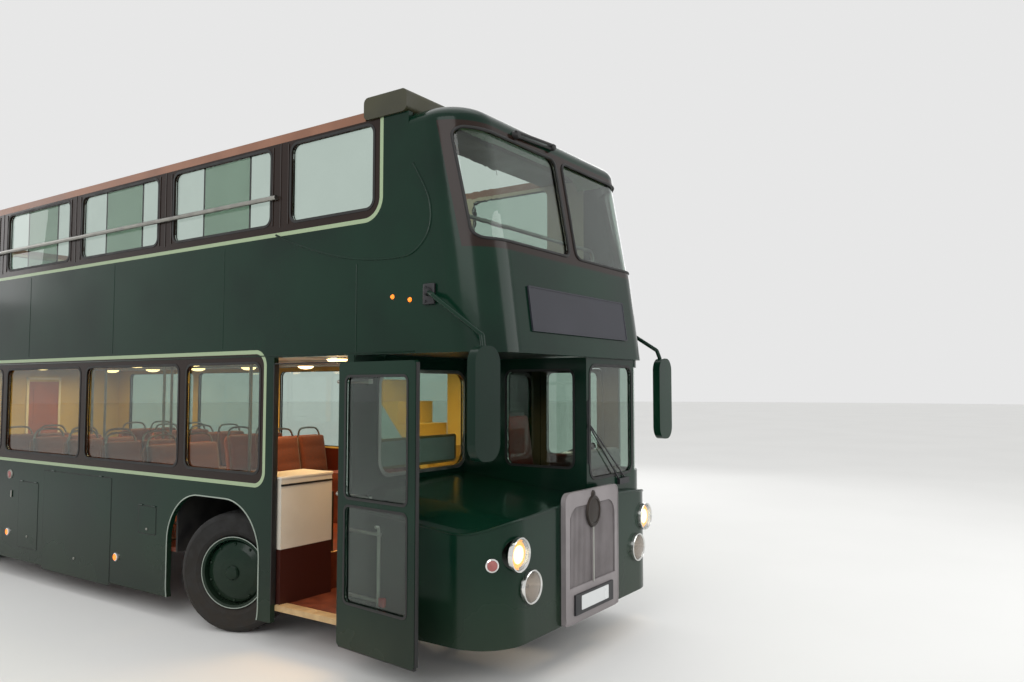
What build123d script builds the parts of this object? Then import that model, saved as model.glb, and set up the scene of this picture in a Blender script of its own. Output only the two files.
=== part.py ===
from math import atan2, cos, degrees, radians, sin
import os

from build123d import *

# An open top double decker bus with a half cab and a bonnet front, in millimetres.
# The front faces -Y, +X is the bus's left side and +Z is up. The origin is on the
# ground, at the middle of the bus's length and width.

# Overall body
HALF_WIDTH = 1250
WALL = 45
SKIRT_Z = 200
FRONT_Y = -4950
REAR_OVERHANG = 2010
REAR_CORNER_R = 150
DECK_Z = 2330
DECK_THICK = 60
WAIST_Z = 3060
TOP_Z = 4100
RAIL_HEIGHT = 70
STACK_HEIGHT = 170
SEAT_FIT = 0.3

# Wheels and axles
TYRE_R = 510
TYRE_WIDTH = 280
TWIN_TYRE_WIDTH = 255
TWIN_GAP = 35
RIM_R = 300
FRONT_AXLE_Y = -2015
WHEELBASE = 4990
KINGPIN_IN = 400
KINGPIN_R = 22
WHEEL_IN = 190
TWIN_IN = 55
REST_STEER = 22
ARCH_WIDTH = 1280
ARCH_TOP_Z = 1140
ARCH_R = 450
FRONT_ARCH_SHIFT = 80

# Chassis, floors and wheel boxes
RAIL_X = 400
RAIL_WIDTH = 70
RAIL_DEPTH = 110
EYE_R = 22
EYE_THICK = 30
PLATFORM_Z = 330
SALOON_Z = 640
REAR_FLOOR_Z = 840
FLOOR_THICK = 40
STEP_Y = -2700
RISER_THICK = 30
REAR_STEP_AHEAD = 675
SALOON_END_BEHIND = 905
BOX_INNER_X = 520
BOX_HALF_LENGTH = 650
BOX_TOP_Z = 1170
BOX_WALL = 25

# Entrance door on the right side, standing open
DOOR_REAR_Y = -2730
DOOR_FRONT_Y = -3575
DOOR_HEAD_Z = 2280
LEAF_GAP = 15
LEAF_BOTTOM_Z = 245
LEAF_OPEN_OUT = 200
LEAF_OPEN_AHEAD = 505
LEAF_OPEN_TURN = -6
POST_IN = 85
POST_BEHIND = 45
POST_R = 24
LEAF_PIVOT_X = 38
ARM_R = 14
PIVOT_PIN_R = 8
KNEE_OUT = 80
KNEE_BEHIND = 30
LEAF_THICK = 40
LEAF_PANE_WIDTH = 655
ARM_HEIGHTS = (1300, 2130)

# Front end below the upper deck
BULKHEAD_Y = -3640
BULKHEAD_THICK = 40
NOSE_BOTTOM_Z = 340
NOSE_CORNER_R = 350
NOSE_CROWN_Z = 1222
NOSE_RISE = 0.1
NOSE_WALL = 35
BONNET_THICK = 30
GRILLE_HALF_WIDTH = 420
GRILLE_BOTTOM_Z = 340
GRILLE_TOP_Z = 1300
GRILLE_PROUD = 40
CAB_FRONT_Y = -4880
CAB_INNER_X = 100
CAB_WALL = 40
CAB_SILL_Z = 1370
CAB_CORNER_R = 300
CAB_DOOR_FRONT_Y = -4440
CAB_DOOR_REAR_Y = -3740
CAB_DOOR_BOTTOM_Z = 460
HINGE_GAP = 6

# Front of the upper deck, which leans back
FRONT_CORNER_R = 340
FRONT_JOIN_Y = -4240
DOME_REAR_Y = -4170
DOME_DROP = 100
SCREEN_ABOVE_WAIST = 65
SCREEN_BELOW_TOP = 165
SCREEN_POST_X = 50
SCREEN_INNER_R = 90
SCREEN_OUTER_R = 50
DOME_THICK = 30

# Windows
WINDOW_R = 70
GLASS_THICK = 8
LOWER_SILL_Z = 1380
LOWER_HEAD_Z = 2285
UPPER_SILL_RISE = 370
UPPER_HEAD_DROP = 35
LOWER_PILLAR = 120
UPPER_PILLAR = 250

# Engine cover at the rear
COVER_HALF_WIDTH = 720
COVER_BOTTOM_Z = 430
COVER_TOP_Z = 1660
COVER_THICK = 40

# Smaller sizes
REAR_SPINDLE_R = 55
SPINDLE_R = 35
RUN_FIT = 0.05
GRILLE_R = 65
GRILLE_FOOT_R = 12
FIELD_INNER_X = 13
FIELD_OUTER_X = 362
FIELD_BOTTOM_Z = 600
FIELD_TOP_Z = 1190
FIELD_ARCH_R = 120
SLAT_PITCH = 19
SLAT_WIDTH = 8
SLAT_COUNT = 17
LAMP_R = 118
LAMP_RIM = 14
LAMP_DEPTH = 90
LAMP_DOME = 36
CAB_POST_IN = 290
CAB_CORNER_REAR_Y = -4600
CAB_BASE_Z = 1010
CAB_SIDE_FRONT_Y = -4540
CAB_DOOR_TOP_Z = 2270
STAIR_WIDTH = 550
STAIR_START_Y = -3560
STAIR_GOING = 200
STAIR_STEPS = 9
WELL_FRONT_Y = -3300
WELL_REAR_Y = -1960
STACK_FRONT_Y = -4165
STACK_REAR_Y = -3735
STACK_PROUD = 20
SEAT_WIDTH = 820
SEAT_WALL_GAP = 65
UPPER_SEAT_PITCH = 760
LOWER_SEAT_PITCH = 745
TUBE_R = 16
GUARD_TUBE_R = 20
MIRROR_ARM_R = 18
MIRROR_WIDTH = 270
MIRROR_HEIGHT = 740
MIRROR_THICK = 65
MIRROR_OUT = 150
MIRROR_Z = 1985
CAB_FLOOR_Z = 700
CONTROL_Y = -4420
SIGN_Z = 2655
SIGN_THICK = 12
PLATE_Z = 470
PLATE_THICK = 16
ENGINE_REAR_GAP = 225
ENGINE_BOTTOM_Z = 480
ENGINE_TOP_Z = 1450
HINGE_R = 8
HINGE_PIN_R = 4
HINGE_STAND = 10
HINGE_LENGTH = 60
HINGE_LEAF = 34
HINGE_PITCH = 65
HINGE_END = 4
COVER_HINGES = [-450, 450]
CAB_DOOR_HINGES = [1250, 2080]

REAR_AXLE_Y = FRONT_AXLE_Y + WHEELBASE
REAR_Y = REAR_AXLE_Y + REAR_OVERHANG
REAR_STEP_Y = REAR_AXLE_Y - REAR_STEP_AHEAD
SALOON_END_Y = REAR_AXLE_Y + SALOON_END_BEHIND
KINGPIN_X = HALF_WIDTH - KINGPIN_IN
WHEEL_X = HALF_WIDTH - WHEEL_IN
TWIN_OUTER_X = HALF_WIDTH - TWIN_IN
LEAF_OPEN_X = -HALF_WIDTH - LEAF_OPEN_OUT
LEAF_OPEN_Y = DOOR_FRONT_Y - LEAF_OPEN_AHEAD
POST_X = -HALF_WIDTH + POST_IN
POST_Y = DOOR_FRONT_Y + POST_BEHIND
KNEE_X = -HALF_WIDTH - KNEE_OUT
KNEE_Y = DOOR_FRONT_Y + KNEE_BEHIND
CAB_POST_X = HALF_WIDTH - CAB_POST_IN
DRIVER_X = (CAB_INNER_X + HALF_WIDTH) / 2
STACK_TOP_Z = TOP_Z + STACK_HEIGHT
STACK_HALF_WIDTH = HALF_WIDTH + STACK_PROUD
SCREEN_SILL_Z = WAIST_Z + SCREEN_ABOVE_WAIST
SCREEN_HEAD_Z = TOP_Z - SCREEN_BELOW_TOP
UPPER_SILL_Z = WAIST_Z + UPPER_SILL_RISE
UPPER_HEAD_Z = TOP_Z - UPPER_HEAD_DROP
FLOOR_Z = DECK_Z + 10
UPPER_FLOOR_Z = FLOOR_Z + DECK_THICK
LOW_RAIL_Z = PLATFORM_Z - FLOOR_THICK - RAIL_DEPTH
MID_RAIL_Z = SALOON_Z - FLOOR_THICK - RAIL_DEPTH
HIGH_RAIL_Z = REAR_FLOOR_Z - FLOOR_THICK - RAIL_DEPTH
FRONT_RAIL_Z = NOSE_BOTTOM_Z + 20
INNER_X = HALF_WIDTH - WALL
SEAT_X = INNER_X - SEAT_WALL_GAP - SEAT_WIDTH / 2
STAIR_INNER_X = INNER_X - STAIR_WIDTH - 15
SIDE_END_Y = REAR_Y - REAR_CORNER_R - 5
LEAF_WIDTH = DOOR_REAR_Y - DOOR_FRONT_Y - 2 * LEAF_GAP
LEAF_TOP_Z = DOOR_HEAD_Z - 10


def even_panes(first, last, count, pillar):
    """First and last Y of each of some equal panes with equal pillars between them."""
    width = (last - first - (count - 1) * pillar) / count
    starts = [first + step * (width + pillar) for step in range(count)]
    return [(start, start + width) for start in starts]


# Side panes: first and last Y of each pane
LOWER_PANES = [(DOOR_REAR_Y + 175, DOOR_REAR_Y + 1195),
               *even_panes(DOOR_REAR_Y + 1315, SIDE_END_Y - 1245, 3, LOWER_PILLAR)]
UPPER_PANES = [(FRONT_JOIN_Y + 415, FRONT_JOIN_Y + 1340),
               *even_panes(FRONT_JOIN_Y + 1590, SIDE_END_Y - 1230, 4, UPPER_PILLAR),
               (SIDE_END_Y - 980, SIDE_END_Y - 190)]
# Flat windows: middle across, middle height, width, height and corner radius
BULKHEAD_WINDOW = (-430, 1810, 1060, 800, 110)
CAB_SCREEN = ((CAB_INNER_X + CAB_POST_X + 10) / 2, 1810, CAB_POST_X - CAB_INNER_X - 110, 910, 80)
CAB_INNER_WINDOW = (-4430, 1832, 660, 786, 60)
CAB_DOOR_WINDOW = (-4090, 1835, 560, 800, 60)
REAR_WINDOWS = [(side * (HALF_WIDTH / 2 - 55), (UPPER_SILL_Z + UPPER_HEAD_Z) / 2, HALF_WIDTH - 250,
                 UPPER_HEAD_Z - UPPER_SILL_Z, 80) for side in (-1, 1)]
# Panes of the entrance leaf: lowest and highest edge
LEAF_PANES = [(560, 1240), (1300, 2165)]
# Headlamps: distance across and height
LAMPS = [(side * (HALF_WIDTH - inset), height)
         for side in (-1, 1) for inset, height in ((260, 957), (410, 714))]
# Sections of the upper deck's front: height and foremost Y
FRONT_SECTIONS = [(DECK_Z, -4935), (WAIST_Z, -4835), (TOP_Z - DOME_DROP, -4665)]
# Rings of the dome: height above its foot and step in from the side
DOME_RINGS = [(0, 0), (50, 18), (90, 60), (125, 140), (150, 260)]
# Half of the bonnet's crown from the side inwards: distance in from the side and drop below the middle
CROWN_LINE = [(-NOSE_WALL, 187), (120, 82), (350, 32), (800, 8), (HALF_WIDTH, 0)]


def hinge_barrel(axis_at, axis_dir, leaf_dir, shift, pinned):
    """One hinge barrel on its leaf, with the long hinge pin or the bore it runs in."""
    plane = Plane(origin=axis_at, x_dir=leaf_dir, z_dir=axis_dir)
    pin_length = HINGE_PITCH + HINGE_LENGTH / 2 - HINGE_END
    with BuildPart() as barrel:
        with BuildSketch(plane.offset(shift - HINGE_LENGTH / 2)):
            Circle(HINGE_R)
            with Locations(((HINGE_GAP + HINGE_LEAF) / 2, -HINGE_STAND / 2)):
                Rectangle(HINGE_LEAF - HINGE_GAP, HINGE_STAND)
        extrude(amount=HINGE_LENGTH)
        if pinned:
            with BuildSketch(plane.offset(shift)):
                Circle(HINGE_PIN_R)
            extrude(amount=pin_length, both=True)
        else:
            with BuildSketch(plane.offset(shift)):
                Circle(HINGE_PIN_R + RUN_FIT)
            extrude(amount=HINGE_LENGTH, both=True, mode=Mode.SUBTRACT)
    return barrel.part


def save(part, name):
    """Label one finished piece and write its STEP file."""
    part.label = name
    export_step(part, f"parts/{name}.step")


def front_y(z):
    """Foremost Y of the leaning upper front at one height."""
    for (z0, y0), (z1, y1) in zip(FRONT_SECTIONS, FRONT_SECTIONS[1:]):
        if z <= z1:
            return y0 + (y1 - y0) * (z - z0) / (z1 - z0)
    return FRONT_SECTIONS[-1][1]


def nose_outline(foremost, join, half_width, corner):
    """Plan wire of a rounded front, open bodied, from the join line forward."""
    with BuildLine() as line:
        Polyline((half_width, foremost + corner), (half_width, join), (-half_width, join),
                 (-half_width, foremost + corner))
        RadiusArc((-half_width, foremost + corner), (-half_width + corner, foremost), -corner)
        Line((-half_width + corner, foremost), (half_width - corner, foremost))
        RadiusArc((half_width - corner, foremost), (half_width, foremost + corner), -corner)
    return line.wires()[0]


def nose_section(z, foremost, join, half_width, corner, wall):
    """One horizontal U of sheet: a rounded front with its two side legs."""
    with BuildSketch(Plane.XY.offset(z)) as section:
        make_face(nose_outline(foremost, join, half_width, corner).edges())
        make_face(nose_outline(foremost + wall, join + 5, half_width - wall, corner - wall).edges(),
                  mode=Mode.SUBTRACT)
    return section.sketch


def side_panes(panes, sill, head, x, thick, fit=0.0):
    """Panes of one side, as flat rounded plates from x inwards or outwards."""
    with BuildPart() as glass:
        with BuildSketch(Plane.YZ.offset(x)):
            for first, last in panes:
                with Locations(((first + last) / 2, (sill + head) / 2)):
                    RectangleRounded(last - first - 2 * fit, head - sill - 2 * fit, WINDOW_R - fit)
        extrude(amount=thick)
    return glass.part


# Chassis frame: two dropped rails joined by cross members
RAIL_LINE = [(-4760, FRONT_RAIL_Z), (-3920, FRONT_RAIL_Z), (BULKHEAD_Y - 60, LOW_RAIL_Z),
             (STEP_Y + 35, LOW_RAIL_Z), (STEP_Y + 250, MID_RAIL_Z),
             (REAR_STEP_Y + 45, MID_RAIL_Z), (REAR_STEP_Y + 260, HIGH_RAIL_Z),
             (SALOON_END_Y + 50, HIGH_RAIL_Z)]
# Cross members: Y and height of their underside
CROSS_MEMBERS = [(-4650, FRONT_RAIL_Z), (-4000, FRONT_RAIL_Z), (-3400, LOW_RAIL_Z), (-2850, LOW_RAIL_Z),
                 (-1200, MID_RAIL_Z), (300, MID_RAIL_Z), (REAR_STEP_Y - 600, MID_RAIL_Z),
                 (SALOON_END_Y - 180, HIGH_RAIL_Z)]
# Towing eye: Y of its middle
EYE_Y = -4735


def make_chassis():
    with BuildPart() as chassis:
        for side in (-1, 1):
            with BuildSketch(Plane.YZ.offset(side * RAIL_X - RAIL_WIDTH / 2)):
                with BuildLine():
                    low = RAIL_LINE
                    high = [(y, z + RAIL_DEPTH) for y, z in reversed(RAIL_LINE)]
                    Polyline(*low, *high, close=True)
                make_face()
            extrude(amount=RAIL_WIDTH)
        for y, z in CROSS_MEMBERS:
            with Locations((0, y, z + RAIL_DEPTH / 2)):
                Box(2 * RAIL_X, 80, RAIL_DEPTH * 0.7)
        with Locations((0, EYE_Y + 5, FRONT_RAIL_Z + RAIL_DEPTH / 2)):
            Box(90, 100, EYE_THICK)
        with Locations((0, EYE_Y, FRONT_RAIL_Z + RAIL_DEPTH / 2)):
            Cylinder(EYE_R, EYE_THICK + 10, mode=Mode.SUBTRACT)
    return chassis.part


def make_front_axle():
    """Dropped beam that carries an eye for each kingpin."""
    with BuildPart() as axle:
        with BuildSketch(Plane.XZ.offset(-FRONT_AXLE_Y + 45)):
            with BuildLine():
                Polyline((-KINGPIN_X, 455), (-KINGPIN_X + 110, 455), (-KINGPIN_X + 260, 345),
                         (KINGPIN_X - 260, 345), (KINGPIN_X - 110, 455), (KINGPIN_X, 455),
                         (KINGPIN_X, 565), (KINGPIN_X - 150, 565), (KINGPIN_X - 300, 440),
                         (-KINGPIN_X + 300, 440), (-KINGPIN_X + 150, 565), (-KINGPIN_X, 565), close=True)
            make_face()
        extrude(amount=-90)
        for side in (-1, 1):
            with Locations((side * KINGPIN_X, FRONT_AXLE_Y, 510)):
                Cylinder(50, 110)
                Cylinder(KINGPIN_R, 200, mode=Mode.SUBTRACT)
        for x in (-RAIL_X, RAIL_X):
            with Locations((x, FRONT_AXLE_Y, (440 + MID_RAIL_Z) / 2)):
                Box(RAIL_WIDTH, 80, MID_RAIL_Z - 440)
    return axle.part


def make_rear_axle():
    """Axle tube with its differential, hub spindles and spring seats."""
    # Half outline of the axle: radius and distance out from its middle
    half = [(REAR_SPINDLE_R, 1110), (REAR_SPINDLE_R, 570), (75, 560), (75, 260), (150, 180), (195, 70)]
    whole = [(0, 1110)] + half + [(radius, -out) for radius, out in reversed(half)] + [(0, -1110)]
    with BuildPart() as axle:
        with BuildSketch(Plane(origin=(0, REAR_AXLE_Y, TYRE_R), x_dir=(0, 0, 1), z_dir=(0, -1, 0))):
            with BuildLine():
                Polyline(*whole, close=True)
            make_face()
        revolve(axis=Axis((0, REAR_AXLE_Y, TYRE_R), (1, 0, 0)))
        for x in (-RAIL_X, RAIL_X):
            with Locations((x, REAR_AXLE_Y, (TYRE_R + 50 + HIGH_RAIL_Z) / 2)):
                Box(RAIL_WIDTH, 120, HIGH_RAIL_Z - TYRE_R - 50)
    return axle.part


def make_lower_floor():
    """Entrance platform, saloon floor and raised rear floor, with their risers."""
    # Floor plates: first Y, last Y, underside, top
    plates = [(BULKHEAD_Y + BULKHEAD_THICK, STEP_Y, PLATFORM_Z - FLOOR_THICK, PLATFORM_Z),
              (STEP_Y, STEP_Y + RISER_THICK, PLATFORM_Z - FLOOR_THICK, SALOON_Z),
              (STEP_Y, REAR_STEP_Y, SALOON_Z - FLOOR_THICK, SALOON_Z),
              (REAR_STEP_Y, REAR_STEP_Y + RISER_THICK, SALOON_Z - FLOOR_THICK, REAR_FLOOR_Z),
              (REAR_STEP_Y, SALOON_END_Y, REAR_FLOOR_Z - FLOOR_THICK, REAR_FLOOR_Z)]
    with BuildPart() as floor:
        with BuildSketch(Plane.YZ.offset(-INNER_X)):
            for first, last, low, high in plates:
                with Locations(((first + last) / 2, (low + high) / 2)):
                    Rectangle(last - first, high - low)
        extrude(amount=2 * INNER_X)
        for axle_y in (FRONT_AXLE_Y, REAR_AXLE_Y):
            for side in (-1, 1):
                with Locations((side * (BOX_INNER_X + HALF_WIDTH) / 2, axle_y, SALOON_Z)):
                    Box(HALF_WIDTH - BOX_INNER_X, 2 * BOX_HALF_LENGTH, 700, mode=Mode.SUBTRACT)
    return floor.part


def make_wheel_boxes():
    """Four covers over the wheels, open below and on the outside."""
    length = INNER_X - BOX_INNER_X
    with BuildPart() as boxes:
        for axle_y in (FRONT_AXLE_Y, REAR_AXLE_Y):
            for side in (-1, 1):
                middle = side * (BOX_INNER_X + length / 2)
                base = SALOON_Z - FLOOR_THICK
                with Locations((middle, axle_y, (base + BOX_TOP_Z) / 2)):
                    Box(length, 2 * BOX_HALF_LENGTH, BOX_TOP_Z - base)
                with Locations((middle + side * BOX_WALL, axle_y, (base + BOX_TOP_Z) / 2 - BOX_WALL)):
                    Box(length, 2 * (BOX_HALF_LENGTH - BOX_WALL), BOX_TOP_Z - base, mode=Mode.SUBTRACT)
    return boxes.part


def make_lower_side(side, front_end):
    """Lower side panel with its windows and wheel arches cut."""
    with BuildPart() as panel:
        with BuildSketch(Plane.YZ.offset(side * HALF_WIDTH - (WALL if side > 0 else 0))):
            with Locations(((front_end + SIDE_END_Y) / 2, (SKIRT_Z + DECK_Z) / 2)):
                Rectangle(SIDE_END_Y - front_end, DECK_Z - SKIRT_Z)
            for first, last in LOWER_PANES:
                with Locations(((first + last) / 2, (LOWER_SILL_Z + LOWER_HEAD_Z) / 2)):
                    RectangleRounded(last - first, LOWER_HEAD_Z - LOWER_SILL_Z, WINDOW_R, mode=Mode.SUBTRACT)
            for arch_y in (FRONT_AXLE_Y + FRONT_ARCH_SHIFT, REAR_AXLE_Y):
                with Locations((arch_y, ARCH_TOP_Z - ARCH_WIDTH / 2)):
                    RectangleRounded(ARCH_WIDTH, ARCH_WIDTH, ARCH_R, mode=Mode.SUBTRACT)
        extrude(amount=WALL)
    return panel.part


def make_upper_side(side):
    """Upper side panel from the deck line to the open top, with its windows cut."""
    with BuildPart() as panel:
        with BuildSketch(Plane.YZ.offset(side * HALF_WIDTH - (WALL if side > 0 else 0))):
            with Locations(((FRONT_JOIN_Y + SIDE_END_Y) / 2, (DECK_Z + TOP_Z) / 2)):
                Rectangle(SIDE_END_Y - FRONT_JOIN_Y, TOP_Z - DECK_Z)
            for first, last in UPPER_PANES:
                with Locations(((first + last) / 2, (UPPER_SILL_Z + UPPER_HEAD_Z) / 2)):
                    RectangleRounded(last - first, UPPER_HEAD_Z - UPPER_SILL_Z, WINDOW_R, mode=Mode.SUBTRACT)
            with Locations((FRONT_JOIN_Y, TOP_Z)):
                Rectangle(2 * (DOME_REAR_Y - FRONT_JOIN_Y), 2 * DOME_DROP, mode=Mode.SUBTRACT)
        extrude(amount=WALL)
    return panel.part


def rear_plane(z):
    """Level plane turned so that its own -Y points to the rear of the bus."""
    return Plane(origin=(0, 0, z), x_dir=(-1, 0, 0), z_dir=(0, 0, 1))


def make_rear_wall(low, high, openings, hinges):
    """Rounded rear wall with openings cut through its back and the cover's hinges."""
    with BuildPart() as wall:
        with BuildSketch(rear_plane(low)):
            make_face(nose_outline(-REAR_Y, -SIDE_END_Y, HALF_WIDTH, REAR_CORNER_R).edges())
            make_face(nose_outline(-REAR_Y + WALL, -SIDE_END_Y + 5, INNER_X, REAR_CORNER_R - WALL).edges(),
                      mode=Mode.SUBTRACT)
        extrude(amount=high - low)
        with BuildSketch(Plane.XZ.offset(-REAR_Y - 10)):
            for x, z, width, height, radius in openings:
                with Locations((x, z)):
                    RectangleRounded(width, height, radius)
        extrude(amount=WALL + 20, mode=Mode.SUBTRACT)
        for x in hinges:
            add(hinge_barrel((x, REAR_Y + HINGE_STAND, COVER_TOP_Z), (-1, 0, 0), (0, 0, 1), 0, True))
    return wall.part


def make_saloon_end():
    """Wall between the saloon and the engine bay."""
    with BuildPart() as wall:
        with Locations((0, SALOON_END_Y + 20, (HIGH_RAIL_Z + RAIL_DEPTH + FLOOR_Z) / 2)):
            Box(2 * INNER_X, 40, FLOOR_Z - HIGH_RAIL_Z - RAIL_DEPTH)
    return wall.part


def make_front_panel():
    """Leaning panel below the upper windscreens."""
    with BuildPart() as panel:
        loft([nose_section(z, y, FRONT_JOIN_Y, HALF_WIDTH, FRONT_CORNER_R, WALL)
              for z, y in FRONT_SECTIONS[:2]], ruled=True)
    return panel.part


def screen_panes(fit, thick):
    """The two upper windscreen panes as blocks through the leaning front."""
    back_y = FRONT_SECTIONS[-1][1] + FRONT_CORNER_R - 60
    low_x = HALF_WIDTH - 75 - fit
    high_x = HALF_WIDTH - 50 - fit
    with BuildPart() as panes:
        for side in (-1, 1):
            with BuildSketch(Plane.XZ.offset(-back_y)) as outline:
                inner_x = side * (SCREEN_POST_X + fit)
                with BuildLine():
                    Polyline((inner_x, SCREEN_SILL_Z + fit), (side * low_x, SCREEN_SILL_Z + fit),
                             (side * high_x, SCREEN_HEAD_Z - fit), (inner_x, SCREEN_HEAD_Z - fit), close=True)
                make_face()
                inner = outline.vertices().filter_by(lambda corner: abs(corner.X) < HALF_WIDTH / 2)
                fillet(inner, SCREEN_INNER_R - fit)
                outer = outline.vertices().filter_by(lambda corner: abs(corner.X) > HALF_WIDTH - 100)
                fillet(outer, SCREEN_OUTER_R - fit)
            extrude(amount=thick)
    return panes.part


def dome_cap(drop, inset):
    """Crowned cap of the front roof, as a solid, lowered and drawn in for its inside."""
    sections = []
    for rise, step in DOME_RINGS:
        with BuildSketch(Plane.XY.offset(TOP_Z - DOME_DROP + rise - drop)) as ring:
            make_face(nose_outline(FRONT_SECTIONS[-1][1] + step + inset, DOME_REAR_Y + drop,
                                   HALF_WIDTH - step - inset, FRONT_CORNER_R - step - inset).edges())
        sections.append(ring.sketch)
    with BuildPart() as cap:
        loft(sections)
    return cap.part


def make_front_dome():
    """Windscreen surround and the short roof over it, open at the back."""
    with BuildPart() as dome:
        loft([nose_section(z, y, FRONT_JOIN_Y, HALF_WIDTH, FRONT_CORNER_R, WALL)
              for z, y in FRONT_SECTIONS[1:]], ruled=True)
        add(screen_panes(0, 600), mode=Mode.SUBTRACT)
        add(dome_cap(0, 0))
        add(dome_cap(DOME_THICK, DOME_THICK), mode=Mode.SUBTRACT)
    return dome.part


def make_upper_glass():
    """Side and rear panes of the upper deck and the two curved windscreens."""
    with BuildPart() as screens:
        loft([nose_section(z, y + 16, FRONT_JOIN_Y, HALF_WIDTH - 16, FRONT_CORNER_R - 16, GLASS_THICK)
              for z, y in FRONT_SECTIONS[1:]], ruled=True)
        add(screen_panes(SEAT_FIT, 600), mode=Mode.INTERSECT)
    with BuildPart() as rear:
        with BuildSketch(Plane.XZ.offset(-REAR_Y + WALL / 2)):
            for x, z, width, height, radius in REAR_WINDOWS:
                with Locations((x, z)):
                    RectangleRounded(width - 2 * SEAT_FIT, height - 2 * SEAT_FIT, radius - SEAT_FIT)
        extrude(amount=GLASS_THICK)
    with BuildPart() as glass:
        add(screens.part)
        add(rear.part)
        for x in (-HALF_WIDTH + WALL / 2, HALF_WIDTH - WALL / 2):
            add(side_panes(UPPER_PANES, UPPER_SILL_Z, UPPER_HEAD_Z, x, GLASS_THICK, SEAT_FIT))
    return glass.part


def make_lower_glass():
    """Saloon side panes, the bulkhead window and the cab's panes."""
    with BuildPart() as bulkhead_pane:
        with BuildSketch(Plane.XZ.offset(-BULKHEAD_Y - BULKHEAD_THICK / 2)):
            x, z, width, height, radius = BULKHEAD_WINDOW
            with Locations((x, z)):
                RectangleRounded(width - 2 * SEAT_FIT, height - 2 * SEAT_FIT, radius - SEAT_FIT)
        extrude(amount=GLASS_THICK)
    with BuildPart() as windscreen:
        with BuildSketch(Plane.XZ.offset(-CAB_FRONT_Y - CAB_WALL / 2)):
            x, z, width, height, radius = CAB_SCREEN
            with Locations((x, z)):
                RectangleRounded(width - 2 * SEAT_FIT, height - 2 * SEAT_FIT, radius - SEAT_FIT)
        extrude(amount=GLASS_THICK)
    with BuildPart() as inner_pane:
        with BuildSketch(Plane.YZ.offset(CAB_INNER_X + CAB_WALL / 2)):
            y, z, width, height, radius = CAB_INNER_WINDOW
            with Locations((y, z)):
                RectangleRounded(width - 2 * SEAT_FIT, height - 2 * SEAT_FIT, radius - SEAT_FIT)
        extrude(amount=GLASS_THICK)
    with BuildPart() as glass:
        add(bulkhead_pane.part)
        add(windscreen.part)
        add(cab_corner_glass())
        add(inner_pane.part)
        for x in (-HALF_WIDTH + WALL / 2, HALF_WIDTH - WALL / 2):
            add(side_panes(LOWER_PANES, LOWER_SILL_Z, LOWER_HEAD_Z, x, GLASS_THICK, SEAT_FIT))
    return glass.part


def make_bulkhead():
    """Bulkhead between the bonnet and the saloon, with its window cut and the door pillar."""
    foot = LOW_RAIL_Z + RAIL_DEPTH
    with BuildPart() as bulkhead:
        with BuildSketch(Plane.XZ.offset(-BULKHEAD_Y - BULKHEAD_THICK)):
            with Locations((0, (foot + FLOOR_Z) / 2)):
                Rectangle(2 * INNER_X, FLOOR_Z - foot)
            x, z, width, height, radius = BULKHEAD_WINDOW
            with Locations((x, z)):
                RectangleRounded(width, height, radius, mode=Mode.SUBTRACT)
        extrude(amount=BULKHEAD_THICK)
        with Locations((-HALF_WIDTH + WALL / 2, (BULKHEAD_Y + DOOR_FRONT_Y) / 2, (foot + DECK_Z) / 2)):
            Box(WALL, DOOR_FRONT_Y - BULKHEAD_Y, DECK_Z - foot)
    return bulkhead.part


def under_crown(low, drop):
    """Block below the bonnet's rising top, lowered by the sheet's drop."""
    edge = [(HALF_WIDTH - inset, NOSE_CROWN_Z - fall - drop) for inset, fall in CROWN_LINE]
    left = [(-x, z) for x, z in edge]
    with BuildPart() as block:
        with BuildSketch(Plane.XZ.offset(-FRONT_Y + 10)):
            with BuildLine():
                ThreePointArc(left[0], left[1], left[2])
                ThreePointArc(left[2], left[3], edge[4])
                ThreePointArc(edge[4], edge[3], edge[2])
                ThreePointArc(edge[2], edge[1], edge[0])
                Polyline(edge[0], (edge[0][0], low), (left[0][0], low), left[0])
            make_face()
        reach = BULKHEAD_Y - FRONT_Y + 10
        extrude(amount=reach * (1 + NOSE_RISE ** 2) ** 0.5, dir=(0, 1, NOSE_RISE))
    return block.part


def make_wings():
    """Rounded front apron that runs back along both sides of the bonnet."""
    with BuildPart() as wings:
        with BuildSketch(Plane.XY.offset(NOSE_BOTTOM_Z)):
            make_face(nose_outline(FRONT_Y, BULKHEAD_Y, HALF_WIDTH, NOSE_CORNER_R).edges())
            make_face(nose_outline(FRONT_Y + NOSE_WALL, BULKHEAD_Y + 5, HALF_WIDTH - NOSE_WALL,
                                   NOSE_CORNER_R - NOSE_WALL).edges(), mode=Mode.SUBTRACT)
            with Locations((HALF_WIDTH, (CAB_SIDE_FRONT_Y + BULKHEAD_Y) / 2)):
                Rectangle(4 * NOSE_WALL, BULKHEAD_Y - CAB_SIDE_FRONT_Y, mode=Mode.SUBTRACT)
        extrude(amount=NOSE_CROWN_Z)
        add(under_crown(0, 0), mode=Mode.INTERSECT)
        with BuildSketch(Plane.XZ.offset(-FRONT_Y - 60)):
            with Locations((0, (FIELD_BOTTOM_Z + FIELD_TOP_Z) / 2)):
                Rectangle(2 * FIELD_OUTER_X, FIELD_TOP_Z - FIELD_BOTTOM_Z - 40)
        extrude(amount=100, mode=Mode.SUBTRACT)
        with BuildSketch(Plane.XZ.offset(-FRONT_Y + 10)):
            with Locations(*LAMPS):
                Circle(LAMP_R - LAMP_RIM + SEAT_FIT)
        extrude(amount=-250, mode=Mode.SUBTRACT)
    return wings.part


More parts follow.
